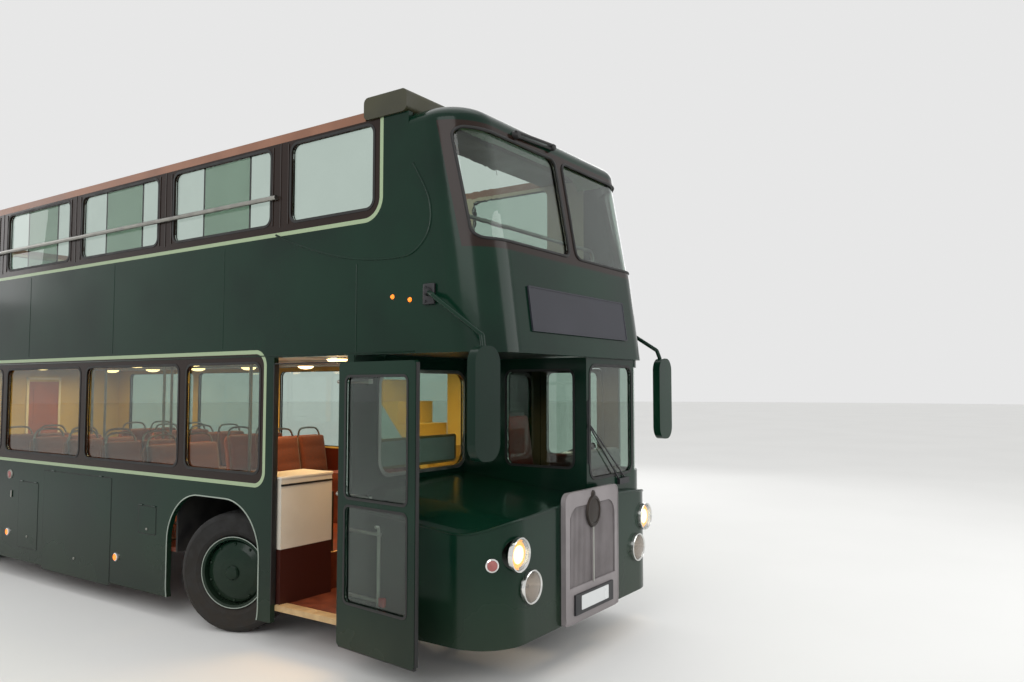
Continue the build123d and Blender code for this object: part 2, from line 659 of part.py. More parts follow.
def make_bonnet():
    """Crowned bonnet skin inside the apron, with the shelf in front of the cab."""
    with BuildPart() as skin:
        add(under_crown(NOSE_BOTTOM_Z, 0))
        add(under_crown(0, BONNET_THICK), mode=Mode.SUBTRACT)
        with BuildSketch(Plane.XY.offset(NOSE_BOTTOM_Z)):
            make_face(nose_outline(FRONT_Y + NOSE_WALL, BULKHEAD_Y, HALF_WIDTH - NOSE_WALL,
                                   NOSE_CORNER_R - NOSE_WALL).edges())
            with Locations(((CAB_INNER_X + HALF_WIDTH) / 2, (CAB_FRONT_Y + BULKHEAD_Y) / 2)):
                Rectangle(HALF_WIDTH - CAB_INNER_X, BULKHEAD_Y - CAB_FRONT_Y, mode=Mode.SUBTRACT)
        extrude(amount=NOSE_CROWN_Z, mode=Mode.INTERSECT)
    return skin.part


def make_grille():
    """Upright radiator shell with two arched fields of slats and a middle bar."""
    with BuildPart() as grille:
        with BuildSketch(Plane.XZ.offset(-FRONT_Y)) as shell:
            with Locations((0, (GRILLE_BOTTOM_Z + GRILLE_TOP_Z) / 2)):
                Rectangle(2 * GRILLE_HALF_WIDTH, GRILLE_TOP_Z - GRILLE_BOTTOM_Z)
            fillet(shell.vertices().group_by(Axis.Y)[-1], GRILLE_R)
            fillet(shell.vertices().group_by(Axis.Y)[0], GRILLE_FOOT_R)
            for side in (-1, 1):
                with BuildLine():
                    Polyline((side * (FIELD_OUTER_X - FIELD_ARCH_R), FIELD_TOP_Z),
                             (side * FIELD_INNER_X, FIELD_TOP_Z),
                             (side * FIELD_INNER_X, FIELD_BOTTOM_Z), (side * FIELD_OUTER_X, FIELD_BOTTOM_Z),
                             (side * FIELD_OUTER_X, FIELD_TOP_Z - FIELD_ARCH_R))
                    RadiusArc((side * FIELD_OUTER_X, FIELD_TOP_Z - FIELD_ARCH_R),
                              (side * (FIELD_OUTER_X - FIELD_ARCH_R), FIELD_TOP_Z), -side * FIELD_ARCH_R)
                make_face(mode=Mode.SUBTRACT)
        extrude(amount=GRILLE_PROUD)
        with BuildSketch(Plane.XZ.offset(-FRONT_Y + 5)):
            for side in (-1, 1):
                with Locations((side * (FIELD_INNER_X + FIELD_OUTER_X) / 2,
                                (FIELD_BOTTOM_Z + FIELD_TOP_Z) / 2)):
                    with GridLocations(SLAT_PITCH, 0, SLAT_COUNT, 1):
                        Rectangle(SLAT_WIDTH, FIELD_TOP_Z - FIELD_BOTTOM_Z + 10)
        extrude(amount=GRILLE_PROUD - 15)
    return grille.part


def make_headlamps():
    """Four round lamps in domed rims, two on each side of the grille."""
    barrel = LAMP_R - LAMP_RIM
    lens_r = LAMP_R - 12
    sag = LAMP_DOME - 28
    with BuildPart() as lamp:
        with BuildSketch(Plane.XY):
            with BuildLine():
                Polyline((0, -LAMP_DOME), (0, LAMP_DEPTH), (barrel, LAMP_DEPTH), (barrel, -2), (LAMP_R, -2),
                         (LAMP_R, -14), (lens_r, -28))
                RadiusArc((lens_r, -28), (0, -LAMP_DOME), (lens_r ** 2 + sag ** 2) / (2 * sag))
            make_face()
        revolve(axis=Axis.Y)
    with BuildPart() as lamps:
        for x, z in LAMPS:
            add(Pos(x, FRONT_Y, z) * lamp.part)
    return lamps.part


def cab_corner_block(fit):
    """Block that marks the curved corner window of the cab."""
    x, z, width, tall, radius = CAB_SCREEN
    with BuildPart() as block:
        with Locations(((CAB_POST_X + HALF_WIDTH + 50) / 2, (CAB_FRONT_Y - 50 + CAB_CORNER_REAR_Y) / 2, z)):
            Box(HALF_WIDTH + 50 - CAB_POST_X - 2 * fit, CAB_CORNER_REAR_Y - CAB_FRONT_Y + 50 - 2 * fit,
                tall - 2 * fit)
    return block.part


def cab_corner_glass():
    """Curved pane at the cab's outer corner."""
    proud = CAB_WALL / 2 - GLASS_THICK / 2
    with BuildPart() as pane:
        add(nose_sheet(CAB_FRONT_Y + proud, CAB_CORNER_R - proud, HALF_WIDTH - proud, GLASS_THICK))
        add(cab_corner_block(SEAT_FIT), mode=Mode.INTERSECT)
    return pane.part


def nose_sheet(foremost, corner, half_width, thick):
    """Upright sheet with a rounded front, of the cab's height."""
    x, z, width, tall, radius = CAB_SCREEN
    with BuildPart() as sheet:
        add(nose_section(z - tall, foremost, BULKHEAD_Y, half_width, corner, thick))
        extrude(amount=2 * tall)
    return sheet.part


def make_cab_shell():
    """Cab front, corner, outer side with its door opening, and inner side wall."""
    with BuildPart() as cab:
        with BuildSketch(Plane.XY.offset(CAB_BASE_Z)):
            with BuildLine():
                Polyline((CAB_INNER_X, BULKHEAD_Y), (CAB_INNER_X, CAB_FRONT_Y),
                         (HALF_WIDTH - CAB_CORNER_R, CAB_FRONT_Y))
                RadiusArc((HALF_WIDTH - CAB_CORNER_R, CAB_FRONT_Y), (HALF_WIDTH, CAB_FRONT_Y + CAB_CORNER_R),
                          -CAB_CORNER_R)
                Polyline((HALF_WIDTH, CAB_FRONT_Y + CAB_CORNER_R), (HALF_WIDTH, BULKHEAD_Y),
                         (CAB_INNER_X, BULKHEAD_Y))
            make_face()
            inner_r = CAB_CORNER_R - CAB_WALL
            with BuildLine():
                Polyline((CAB_INNER_X + CAB_WALL, BULKHEAD_Y + 5),
                         (CAB_INNER_X + CAB_WALL, CAB_FRONT_Y + CAB_WALL),
                         (HALF_WIDTH - CAB_CORNER_R, CAB_FRONT_Y + CAB_WALL))
                RadiusArc((HALF_WIDTH - CAB_CORNER_R, CAB_FRONT_Y + CAB_WALL),
                          (HALF_WIDTH - CAB_WALL, CAB_FRONT_Y + CAB_CORNER_R), -inner_r)
                Polyline((HALF_WIDTH - CAB_WALL, CAB_FRONT_Y + CAB_CORNER_R),
                         (HALF_WIDTH - CAB_WALL, BULKHEAD_Y + 5), (CAB_INNER_X + CAB_WALL, BULKHEAD_Y + 5))
            make_face(mode=Mode.SUBTRACT)
        extrude(amount=DECK_Z - CAB_BASE_Z)
        add(under_crown(NOSE_BOTTOM_Z, 0), mode=Mode.SUBTRACT)
        with BuildSketch(Plane.XZ.offset(-CAB_FRONT_Y - CAB_WALL - 20)):
            x, z, width, tall, radius = CAB_SCREEN
            with Locations((x, z)):
                RectangleRounded(width, tall, radius)
        extrude(amount=CAB_WALL + 40, mode=Mode.SUBTRACT)
        add(cab_corner_block(0), mode=Mode.SUBTRACT)
        with BuildSketch(Plane.YZ.offset(CAB_INNER_X - 10)):
            y, z, width, tall, radius = CAB_INNER_WINDOW
            with Locations((y, z)):
                RectangleRounded(width, tall, radius)
        extrude(amount=CAB_WALL + 20, mode=Mode.SUBTRACT)
        with BuildSketch(Plane.XY.offset(NOSE_BOTTOM_Z)):
            with Locations((HALF_WIDTH - CAB_WALL / 2, (CAB_SIDE_FRONT_Y + BULKHEAD_Y) / 2)):
                Rectangle(CAB_WALL, BULKHEAD_Y - CAB_SIDE_FRONT_Y)
        extrude(amount=CAB_SILL_Z - NOSE_BOTTOM_Z)
        with BuildSketch(Plane.YZ.offset(HALF_WIDTH - CAB_WALL - 10)):
            with Locations(((CAB_DOOR_FRONT_Y + CAB_DOOR_REAR_Y) / 2,
                            (CAB_DOOR_BOTTOM_Z + CAB_DOOR_TOP_Z) / 2)):
                RectangleRounded(CAB_DOOR_REAR_Y - CAB_DOOR_FRONT_Y, CAB_DOOR_TOP_Z - CAB_DOOR_BOTTOM_Z, 60)
        extrude(amount=CAB_WALL + 20, mode=Mode.SUBTRACT)
        for z in CAB_DOOR_HINGES:
            add(hinge_barrel((HALF_WIDTH + HINGE_STAND, CAB_DOOR_FRONT_Y, z), (0, 0, 1), (0, -1, 0), 0, True))
    return cab.part


def make_cab_door():
    """Cab door with its window cut, hinged along its front edge."""
    with BuildPart() as door:
        with BuildSketch(Plane.YZ.offset(HALF_WIDTH - CAB_WALL)):
            with Locations(((CAB_DOOR_FRONT_Y + CAB_DOOR_REAR_Y) / 2,
                            (CAB_DOOR_BOTTOM_Z + CAB_DOOR_TOP_Z) / 2)):
                RectangleRounded(CAB_DOOR_REAR_Y - CAB_DOOR_FRONT_Y - 2 * HINGE_GAP,
                                 CAB_DOOR_TOP_Z - CAB_DOOR_BOTTOM_Z - 2 * HINGE_GAP, 54)
            y, z, width, tall, radius = CAB_DOOR_WINDOW
            with Locations((y, z)):
                RectangleRounded(width, tall, radius, mode=Mode.SUBTRACT)
        extrude(amount=CAB_WALL)
        for z in CAB_DOOR_HINGES:
            for step in (-HINGE_PITCH, HINGE_PITCH):
                axis_at = (HALF_WIDTH + HINGE_STAND, CAB_DOOR_FRONT_Y, z)
                add(hinge_barrel(axis_at, (0, 0, -1), (0, 1, 0), step, False))
    return door.part


def make_cab_door_glass():
    with BuildPart() as glass:
        with BuildSketch(Plane.YZ.offset(HALF_WIDTH - CAB_WALL / 2)):
            y, z, width, tall, radius = CAB_DOOR_WINDOW
            with Locations((y, z)):
                RectangleRounded(width - 2 * SEAT_FIT, tall - 2 * SEAT_FIT, radius - SEAT_FIT)
        extrude(amount=GLASS_THICK)
    return glass.part


def make_upper_floor():
    """Floor between the decks, with the stairwell cut."""
    with BuildPart() as floor:
        with BuildSketch(Plane.XY.offset(FLOOR_Z)):
            foremost = front_y(UPPER_FLOOR_Z) + WALL
            make_face(nose_outline(foremost, -1000, INNER_X, FRONT_CORNER_R - WALL).edges())
            with Locations((0, (REAR_Y - WALL - 1000 - 2 * 200) / 2 + 100)):
                Rectangle(2 * INNER_X, REAR_Y - WALL + 1000 - 200)
            with Locations(((STAIR_INNER_X + INNER_X) / 2, (WELL_FRONT_Y + WELL_REAR_Y) / 2)):
                Rectangle(INNER_X - STAIR_INNER_X - 15, WELL_REAR_Y - WELL_FRONT_Y, mode=Mode.SUBTRACT)
        extrude(amount=DECK_THICK)
    return floor.part


def make_staircase():
    """Straight stair from the platform up to the upper deck, behind the cab."""
    rise = (UPPER_FLOOR_Z - PLATFORM_Z) / STAIR_STEPS
    with BuildPart() as stair:
        with BuildSketch(Plane.YZ.offset(STAIR_INNER_X)):
            with BuildLine():
                points = [(STAIR_START_Y, PLATFORM_Z)]
                for step in range(STAIR_STEPS - 1):
                    y = STAIR_START_Y + step * STAIR_GOING
                    points.append((y, PLATFORM_Z + (step + 1) * rise))
                    points.append((y + STAIR_GOING, PLATFORM_Z + (step + 1) * rise))
                points.append((points[-1][0], points[-1][1] - rise / 4))
                points.append((STAIR_START_Y + 90, PLATFORM_Z))
                Polyline(*points, close=True)
            make_face()
        extrude(amount=INNER_X - STAIR_INNER_X - 15)
    return stair.part


def make_stack():
    """Housing of the folded soft roof, across the body behind the dome."""
    with BuildPart() as stack:
        with BuildSketch(Plane.YZ.offset(-STACK_HALF_WIDTH)):
            with Locations(((STACK_FRONT_Y + STACK_REAR_Y) / 2, (TOP_Z + STACK_TOP_Z) / 2)):
                RectangleRounded(STACK_REAR_Y - STACK_FRONT_Y, STACK_HEIGHT, STACK_HEIGHT / 4)
        extrude(amount=2 * STACK_HALF_WIDTH)
    return stack.part


def make_top_rail():
    """Guide rail along the top of both sides and round the back."""
    with BuildPart() as rail:
        with BuildSketch(rear_plane(TOP_Z)):
            make_face(nose_outline(-REAR_Y, -STACK_REAR_Y, HALF_WIDTH, REAR_CORNER_R).edges())
            make_face(nose_outline(-REAR_Y + WALL, -STACK_REAR_Y + 5, INNER_X, REAR_CORNER_R - WALL).edges(),
                      mode=Mode.SUBTRACT)
        extrude(amount=RAIL_HEIGHT)
    return rail.part


def tube(points, radius, corner):
    """Round bar along a line of points with rounded corners."""
    with BuildPart() as bar:
        with BuildLine() as path:
            if len(points) > 2:
                FilletPolyline(*points, radius=corner)
            else:
                Line(*points)
        with BuildSketch(Plane(origin=path.line @ 0, z_dir=path.line % 0)):
            Circle(radius)
        sweep(path=path.line)
    return bar.part


def make_guard_rails():
    """Rail across behind the windscreens and rail round the stairwell."""
    well_x = STAIR_INNER_X - 30
    guard_x = INNER_X - 205
    guard_y = -4450
    well_y = WELL_FRONT_Y - 40
    foot = UPPER_FLOOR_Z + SEAT_FIT
    guard_z = UPPER_FLOOR_Z + 950
    well_z = UPPER_FLOOR_Z + 900
    with BuildPart() as rails:
        add(tube([(-guard_x, guard_y, foot), (-guard_x, guard_y, guard_z), (guard_x, guard_y, guard_z),
                  (guard_x, guard_y, foot)], TUBE_R, 80))
        add(tube([(well_x, WELL_REAR_Y, foot), (well_x, WELL_REAR_Y, well_z), (well_x, well_y, well_z),
                  (well_x, well_y, foot)], TUBE_R, 80))
    return rails.part


def make_handrails():
    """Guard tubes outside the upper windows and grab poles in the saloon."""
    tube_x = HALF_WIDTH + GUARD_TUBE_R + SEAT_FIT
    tube_z = UPPER_SILL_Z + 217
    ceiling = FLOOR_Z - SEAT_FIT
    # Grab poles: across, along, foot height
    poles = [(-560, -2800, PLATFORM_Z), (-290, -1200, SALOON_Z), (290, -440, SALOON_Z),
             (-290, 320, SALOON_Z), (290, 1080, SALOON_Z), (-290, REAR_STEP_Y - 460, SALOON_Z),
             (290, REAR_STEP_Y + 300, REAR_FLOOR_Z)]
    with BuildPart() as rails:
        for side in (-1, 1):
            ends = [(side * tube_x, -2745, tube_z), (side * tube_x, SIDE_END_Y - 60, tube_z)]
            add(tube(ends, GUARD_TUBE_R, 0))
        for x, y, foot in poles:
            add(tube([(x, y, foot + SEAT_FIT), (x, y, ceiling)], TUBE_R, 0))
    return rails.part


def seat_block(x, y, floor):
    """One double seat facing the front: pedestal, cushion and leaning back."""
    with BuildPart() as seat:
        with BuildSketch(Plane.YZ.offset(x - SEAT_WIDTH / 2)):
            with BuildLine():
                Polyline((y - 180, floor), (y - 180, floor + 330), (y - 40, floor + 330),
                         (y + 60, floor + 960),
                         (y + 10, floor + 980), (y - 110, floor + 450), (y - 500, floor + 460),
                         (y - 510, floor + 380), (y - 330, floor + 330), (y - 330, floor), close=True)
            make_face()
        extrude(amount=SEAT_WIDTH)
    return seat.part


def make_lower_seats():
    """Saloon seats in rows, with benches over the front and rear wheel boxes."""
    first = -720
    last = REAR_AXLE_Y - BOX_HALF_LENGTH - 60
    with BuildPart() as seats:
        for side in (-1, 1):
            for row in range(int((last - first) / LOWER_SEAT_PITCH) + 1):
                add(seat_block(side * SEAT_X, first + row * LOWER_SEAT_PITCH, SALOON_Z + SEAT_FIT))
        bench_x = (BOX_INNER_X + INNER_X) / 2
        # Benches: across, along and length
        benches = [(-bench_x, FRONT_AXLE_Y + 155, 1000), (-bench_x, REAR_AXLE_Y, 1280),
                   (bench_x, REAR_AXLE_Y, 1280)]
        for x, y, length in benches:
            with Locations((x, y, BOX_TOP_Z + 50 + SEAT_FIT)):
                Box(INNER_X - BOX_INNER_X - 40, length, 100)
    return seats.part


def make_upper_seats():
    """Open deck seats in rows, fewer on the side with the stairwell."""
    last = REAR_Y - 400
    with BuildPart() as seats:
        for side, first in ((-1, -3000), (1, -1100)):
            for row in range(int((last - first) / UPPER_SEAT_PITCH) + 1):
                add(seat_block(side * SEAT_X, first + row * UPPER_SEAT_PITCH, UPPER_FLOOR_Z + SEAT_FIT))
    return seats.part


def make_counter():
    """Counter by the entrance, standing against the step and over the wheel box."""
    wide = 550
    with BuildPart() as counter:
        with BuildSketch(Plane.YZ.offset(-INNER_X + 15)):
            with BuildLine():
                Polyline((STEP_Y - 70, PLATFORM_Z), (STEP_Y - 70, 1340), (STEP_Y + 300, 1340),
                         (STEP_Y + 300, BOX_TOP_Z), (STEP_Y, BOX_TOP_Z), (STEP_Y, PLATFORM_Z), close=True)
            make_face()
        extrude(amount=wide)
    return counter.part


def make_controls():
    """Driver's dashboard, steering column and wheel, with the driver's seat."""
    with BuildPart() as dash:
        with BuildSketch(Plane.YZ.offset(CAB_INNER_X + CAB_WALL + 10)):
            with BuildLine():
                Polyline((CAB_FRONT_Y + CAB_WALL, 1250), (CAB_FRONT_Y + CAB_WALL, 1340), (-4560, 1400),
                         (CAB_SIDE_FRONT_Y, 1250), close=True)
            make_face()
        extrude(amount=HALF_WIDTH - CAB_CORNER_R - 20 - CAB_INNER_X - CAB_WALL)
    with BuildPart() as wheel:
        hub = Plane(origin=(DRIVER_X, CONTROL_Y, 1470), x_dir=(1, 0, 0), z_dir=(0, 0.5, 0.87))
        with BuildSketch(hub):
            Circle(225)
            Circle(195, mode=Mode.SUBTRACT)
            with PolarLocations(0, 3, start_angle=90):
                with Locations((100, 0)):
                    Rectangle(200, 34)
        extrude(amount=24)
        with BuildSketch(hub):
            Circle(30)
        extrude(amount=-270)
    with BuildPart() as seat:
        with BuildSketch(Plane.YZ.offset(DRIVER_X - 240)):
            with BuildLine():
                Polyline((-4000, CAB_FLOOR_Z), (-4000, 1150), (-4190, 1160), (-4190, 1250), (-3820, 1240),
                         (-3740, 1850), (-3690, 1840), (-3760, 1150), (-3850, 1150), (-3850, CAB_FLOOR_Z),
                         close=True)
            make_face()
        extrude(amount=480)
    with BuildPart() as floor:
        with Locations((DRIVER_X, (CAB_SIDE_FRONT_Y + BULKHEAD_Y) / 2, CAB_FLOOR_Z - 15)):
            Box(HALF_WIDTH - CAB_INNER_X - 2 * CAB_WALL, BULKHEAD_Y - CAB_SIDE_FRONT_Y, 30)
    with BuildPart() as controls:
        add(dash.part)
        add(wheel.part)
        add(seat.part)
        add(floor.part)
    return controls.part


def make_mirrors():
    """Tall mirror heads on bent arms from the upper front corners."""
    root = (HALF_WIDTH + 20, -4380, 2755)
    head = (HALF_WIDTH + MIRROR_OUT, -4965, MIRROR_Z)
    with BuildPart() as mirrors:
        for side in (-1, 1):
            knee = (head[0] - 30, head[1] + 40, 2430)
            foot = (head[0], head[1], MIRROR_Z + MIRROR_HEIGHT / 2 - 60)
            bent = [root, (root[0] + 60, root[1] - 90, root[2] - 30), knee, foot]
            add(tube([(side * x, y, z) for x, y, z in bent], MIRROR_ARM_R, 30))
            with BuildSketch(Plane.XZ.offset(-head[1] - MIRROR_THICK / 2)):
                with Locations((side * head[0], MIRROR_Z)):
                    RectangleRounded(MIRROR_WIDTH, MIRROR_HEIGHT, 110)
            extrude(amount=MIRROR_THICK)
            with Locations((side * (HALF_WIDTH + 10), root[1], root[2])):
                Box(20, 70, 90)
    return mirrors.part


def make_wipers():
    """Cab wiper with its two arms, and the upper screen's wiper."""
    cab_y = CAB_FRONT_Y - 13 - SEAT_FIT
    with BuildPart() as wipers:
        for x_low, x_high in ((780, 130), (660, 110)):
            add(tube([(x_low, cab_y, 1290), (x_high, cab_y, 1790)], 6, 0))
        with Locations((110, cab_y, 1730)):
            Box(14, 14, 500)
        with Locations((720, cab_y, 1290)):
            Box(180, 26, 50)
    return wipers.part


def make_small_lamps():
    """Side markers, corner indicators and tail lamps, as low domes."""
    # Lamps: centre and the direction that each faces, in degrees round from +X
    turn = radians(45)
    reach = NOSE_CORNER_R * sin(turn)
    corner = (HALF_WIDTH - NOSE_CORNER_R + reach, FRONT_Y + NOSE_CORNER_R - reach, 900)
    lamps = []
    for side, facing, angle in ((-1, 180, 225), (1, 0, 315)):
        lamps.append((side * HALF_WIDTH, -471, 460, facing, 32))
        lamps.append((side * HALF_WIDTH, 1737, 480, facing, 32))
        lamps.append((side * corner[0], corner[1], corner[2], angle, 38))
        for z in (960, 1120):
            lamps.append((side * (HALF_WIDTH - 240), REAR_Y, z, 90, 60))
    with BuildPart() as small:
        for x, y, z, facing, radius in lamps:
            outward = (cos(radians(facing)), sin(radians(facing)), 0)
            with BuildSketch(Plane(origin=(x, y, z), z_dir=outward)):
                Circle(radius)
            extrude(amount=16)
    return small.part


def make_plates():
    """Blank number plate in its holder and the bare sign board above the cab."""
    lean = degrees(atan2(FRONT_SECTIONS[1][1] - FRONT_SECTIONS[0][1], WAIST_Z - DECK_Z))
    sign_y = front_y(SIGN_Z) - (SIGN_THICK / 2 + SEAT_FIT) / cos(radians(lean))
    with BuildPart() as plates:
        with Locations(Location((0, sign_y, SIGN_Z), (-lean, 0, 0))):
            Box(1500, SIGN_THICK, 330)
        with Locations((0, FRONT_Y - GRILLE_PROUD - PLATE_THICK / 2, PLATE_Z)):
            Box(600, PLATE_THICK, 150)
    return plates.part


def steered(part, side):
    """Turn a front wheel piece about its kingpin to the parked angle."""
    pivot = Location((side * KINGPIN_X, FRONT_AXLE_Y, 0))
    turned = pivot * Rot(0, 0, REST_STEER) * pivot.inverse() * part
    return turned


def make_knuckle(side):
    """Forked knuckle with its kingpin and wheel spindle."""
    centre = (side * KINGPIN_X, FRONT_AXLE_Y, TYRE_R)
    with BuildPart() as knuckle:
        with Locations(centre):
            Cylinder(KINGPIN_R - RUN_FIT, 250)
        for level in (-1, 1):
            with Locations((side * (KINGPIN_X + 30), FRONT_AXLE_Y, TYRE_R + level * 85)):
                Box(160, 100, 44)
        with Locations((side * (KINGPIN_X + 85), FRONT_AXLE_Y, TYRE_R)):
            Box(50, 100, 214)
        with Locations(Location((side * (KINGPIN_X + 200), FRONT_AXLE_Y, TYRE_R), (0, 90, 0))):
            Cylinder(SPINDLE_R, 200)
    return steered(knuckle.part, side)


def turned_about_axle(points, side, x, y):
    """Wheel form: a closed outline of radius and outward offset, turned about the axle."""
    with BuildPart() as form:
        with BuildSketch(Plane(origin=(x, y, TYRE_R), x_dir=(0, 0, 1), z_dir=(0, side, 0))):
            with BuildLine():
                Polyline(*points, close=True)
            make_face()
        revolve(axis=Axis((x, y, TYRE_R), (1, 0, 0)))
    return form.part


def make_tyre(side, x, y, width):
    """Tyre ring with rounded shoulders."""
    half = width / 2
    inner = RIM_R + SEAT_FIT
    # Outline of the tyre: radius and offset from its middle
    ring = [(inner, -half + 30), (inner + 40, -half + 4), (TYRE_R - 90, -half), (TYRE_R - 22, -half + 22),
            (TYRE_R, -half + 50), (TYRE_R, half - 50), (TYRE_R - 22, half - 22), (TYRE_R - 90, half),
            (inner + 40, half - 4), (inner, half - 30)]
    return turned_about_axle(ring, side, x, y)


def make_front_wheel(side):
    """Front wheel: rim, hub and big domed cover."""
    bore = SPINDLE_R + RUN_FIT
    # Outline of the wheel: radius and outward offset
    ring = [(bore, -60), (110, -60), (110, 20), (255, 40), (265, -125), (RIM_R, -135), (RIM_R, 135),
            (275, 130), (268, 70), (250, 95), (200, 118), (120, 135), (60, 140), (60, 152), (bore, 154)]
    return turned_about_axle(ring, side, side * WHEEL_X, FRONT_AXLE_Y)


def make_rear_wheel(side):
    """Twin rear rims on one hub."""
    bore = REAR_SPINDLE_R + RUN_FIT
    outer = TWIN_TYRE_WIDTH
    middle = TWIN_OUTER_X - TWIN_TYRE_WIDTH - TWIN_GAP / 2
    # Outline of the twin rims: radius and outward offset from their middle plane
    ring = [(bore, -130), (120, -130), (120, -10), (262, -10), (262, -outer), (RIM_R, -outer), (RIM_R, outer),
            (270, outer), (262, 20), (150, 20), (140, 190), (100, 210), (bore, 210)]
    return turned_about_axle(ring, side, side * middle, REAR_AXLE_Y)


def make_engine():
    with BuildPart() as engine:
        front_y = SALOON_END_Y + 50
        rear_y = REAR_Y - ENGINE_REAR_GAP
        with Locations((0, (front_y + rear_y) / 2, (ENGINE_BOTTOM_Z + ENGINE_TOP_Z) / 2)):
            Box(1200, rear_y - front_y, ENGINE_TOP_Z - ENGINE_BOTTOM_Z)
    return engine.part


def make_engine_cover():
    """Rear engine cover with louvres, hinged along its top edge."""
    with BuildPart() as cover:
        with BuildSketch(Plane.XZ.offset(-REAR_Y)):
            with Locations((0, (COVER_BOTTOM_Z + COVER_TOP_Z) / 2)):
                RectangleRounded(2 * COVER_HALF_WIDTH - 2 * HINGE_GAP,
                                 COVER_TOP_Z - COVER_BOTTOM_Z - 2 * HINGE_GAP, 54)
            with Locations((0, 800)):
                with GridLocations(0, 60, 1, 8):
                    Rectangle(900, 24, mode=Mode.SUBTRACT)
        extrude(amount=COVER_THICK)
        for x in COVER_HINGES:
            for step in (-HINGE_PITCH, HINGE_PITCH):
                add(hinge_barrel((x, REAR_Y + HINGE_STAND, COVER_TOP_Z), (1, 0, 0), (0, 0, -1), step, False))
    return cover.part


def leaf_pivot():
    """Place of the leaf's pivot along the leaf, where both arm lengths agree."""
    turn = radians(LEAF_OPEN_TURN)
    closed_y = (DOOR_REAR_Y + DOOR_FRONT_Y) / 2
    a = -HALF_WIDTH + LEAF_THICK / 2 + LEAF_PIVOT_X - POST_X
    b = closed_y - POST_Y
    c = LEAF_OPEN_X + LEAF_PIVOT_X * cos(turn) - POST_X
    d = LEAF_OPEN_Y + LEAF_PIVOT_X * sin(turn) - POST_Y
    along = (c * c + d * d - a * a - b * b) / (2 * (b + c * sin(turn) - d * cos(turn)))
    closed_angle = degrees(atan2(b + along, a))
    open_x = c - along * sin(turn)
    open_y = d + along * cos(turn)
    open_angle = degrees(atan2(open_y, open_x)) % 360
    return along, POST_X + open_x, POST_Y + open_y, closed_angle, open_angle


def opened(part):
    """Place a door piece, made about the leaf's own middle, where the leaf stands open."""
    return Location((LEAF_OPEN_X, LEAF_OPEN_Y, 0), (0, 0, LEAF_OPEN_TURN)) * part


def make_door_leaf():
    """Entrance leaf with two panes cut, a middle rail and its pivot brackets."""
    along = leaf_pivot()[0]
    with BuildPart() as leaf:
        with BuildSketch(Plane.YZ.offset(-LEAF_THICK / 2)):
            with Locations((0, (LEAF_BOTTOM_Z + LEAF_TOP_Z) / 2)):
                RectangleRounded(LEAF_WIDTH, LEAF_TOP_Z - LEAF_BOTTOM_Z, 30)
            for low, high in LEAF_PANES:
                with Locations((0, (low + high) / 2)):
                    RectangleRounded(LEAF_PANE_WIDTH, high - low, 40, mode=Mode.SUBTRACT)
        extrude(amount=LEAF_THICK)
        for z in ARM_HEIGHTS:
            for level in (-1, 1):
                with Locations((LEAF_PIVOT_X / 2 + 14, along, z + level * 24)):
                    Box(LEAF_PIVOT_X, 26, 12)
            with Locations((LEAF_PIVOT_X, along, z)):
                Cylinder(PIVOT_PIN_R, 50)
    return opened(leaf.part)


def make_door_glass():
    with BuildPart() as glass:
        with BuildSketch(Plane.YZ.offset(-GLASS_THICK / 2)):
            for low, high in LEAF_PANES:
                with Locations((0, (low + high) / 2)):
                    RectangleRounded(LEAF_PANE_WIDTH - 2 * SEAT_FIT, high - low - 2 * SEAT_FIT, 40 - SEAT_FIT)
        extrude(amount=GLASS_THICK)
    return opened(glass.part)


def make_door_post():
    """Upright door shaft with two cranked arms that carry the leaf."""
    along, pivot_x, pivot_y, closed_angle, open_angle = leaf_pivot()
    with BuildPart() as post:
        with Locations((POST_X, POST_Y, (PLATFORM_Z + FLOOR_Z) / 2)):
            Cylinder(POST_R, FLOOR_Z - PLATFORM_Z - 2 * SEAT_FIT)
        for z in ARM_HEIGHTS:
            add(tube([(POST_X, POST_Y, z), (KNEE_X, KNEE_Y, z), (pivot_x, pivot_y, z)], ARM_R, 60))
            with Locations((pivot_x, pivot_y, z)):
                Cylinder(PIVOT_PIN_R + 8, 34)
                Cylinder(PIVOT_PIN_R + RUN_FIT, 60, mode=Mode.SUBTRACT)
    return post.part


os.makedirs("parts", exist_ok=True)

save(make_chassis(), "chassis_frame")
save(make_front_axle(), "front_axle_beam")
save(make_rear_axle(), "rear_axle_housing")
save(make_engine(), "engine_block")
save(make_lower_floor(), "lower_floor")
save(make_wheel_boxes(), "wheel_boxes")
save(make_lower_side(-1, DOOR_REAR_Y), "lower_side_right")
save(make_lower_side(1, BULKHEAD_Y), "lower_side_left")
save(make_bulkhead(), "bulkhead")
save(make_saloon_end(), "saloon_end_wall")
save(make_wings(), "front_wings")
save(make_bonnet(), "bonnet")
save(make_grille(), "grille")
save(make_headlamps(), "headlamps")
save(make_plates(), "blank_plates")
save(make_cab_shell(), "cab_shell")
save(make_controls(), "driver_controls")
save(make_upper_floor(), "upper_floor")
save(make_staircase(), "staircase")
save(make_upper_side(-1), "upper_side_right")
save(make_upper_side(1), "upper_side_left")
save(make_front_panel(), "upper_front_panel")
save(make_front_dome(), "front_dome")
save(make_rear_wall(SKIRT_Z, DECK_Z, [(0, (COVER_BOTTOM_Z + COVER_TOP_Z) / 2, 2 * COVER_HALF_WIDTH,
                                       COVER_TOP_Z - COVER_BOTTOM_Z, 60)], COVER_HINGES), "lower_rear_wall")
save(make_rear_wall(DECK_Z, TOP_Z, REAR_WINDOWS, []), "upper_rear_wall")
save(make_stack(), "roof_stack_housing")
save(make_top_rail(), "top_rail")
save(make_handrails(), "handrails")
save(make_guard_rails(), "guard_rails")
save(make_lower_glass(), "lower_glass")
save(make_upper_glass(), "upper_glass")
save(make_counter(), "counter")
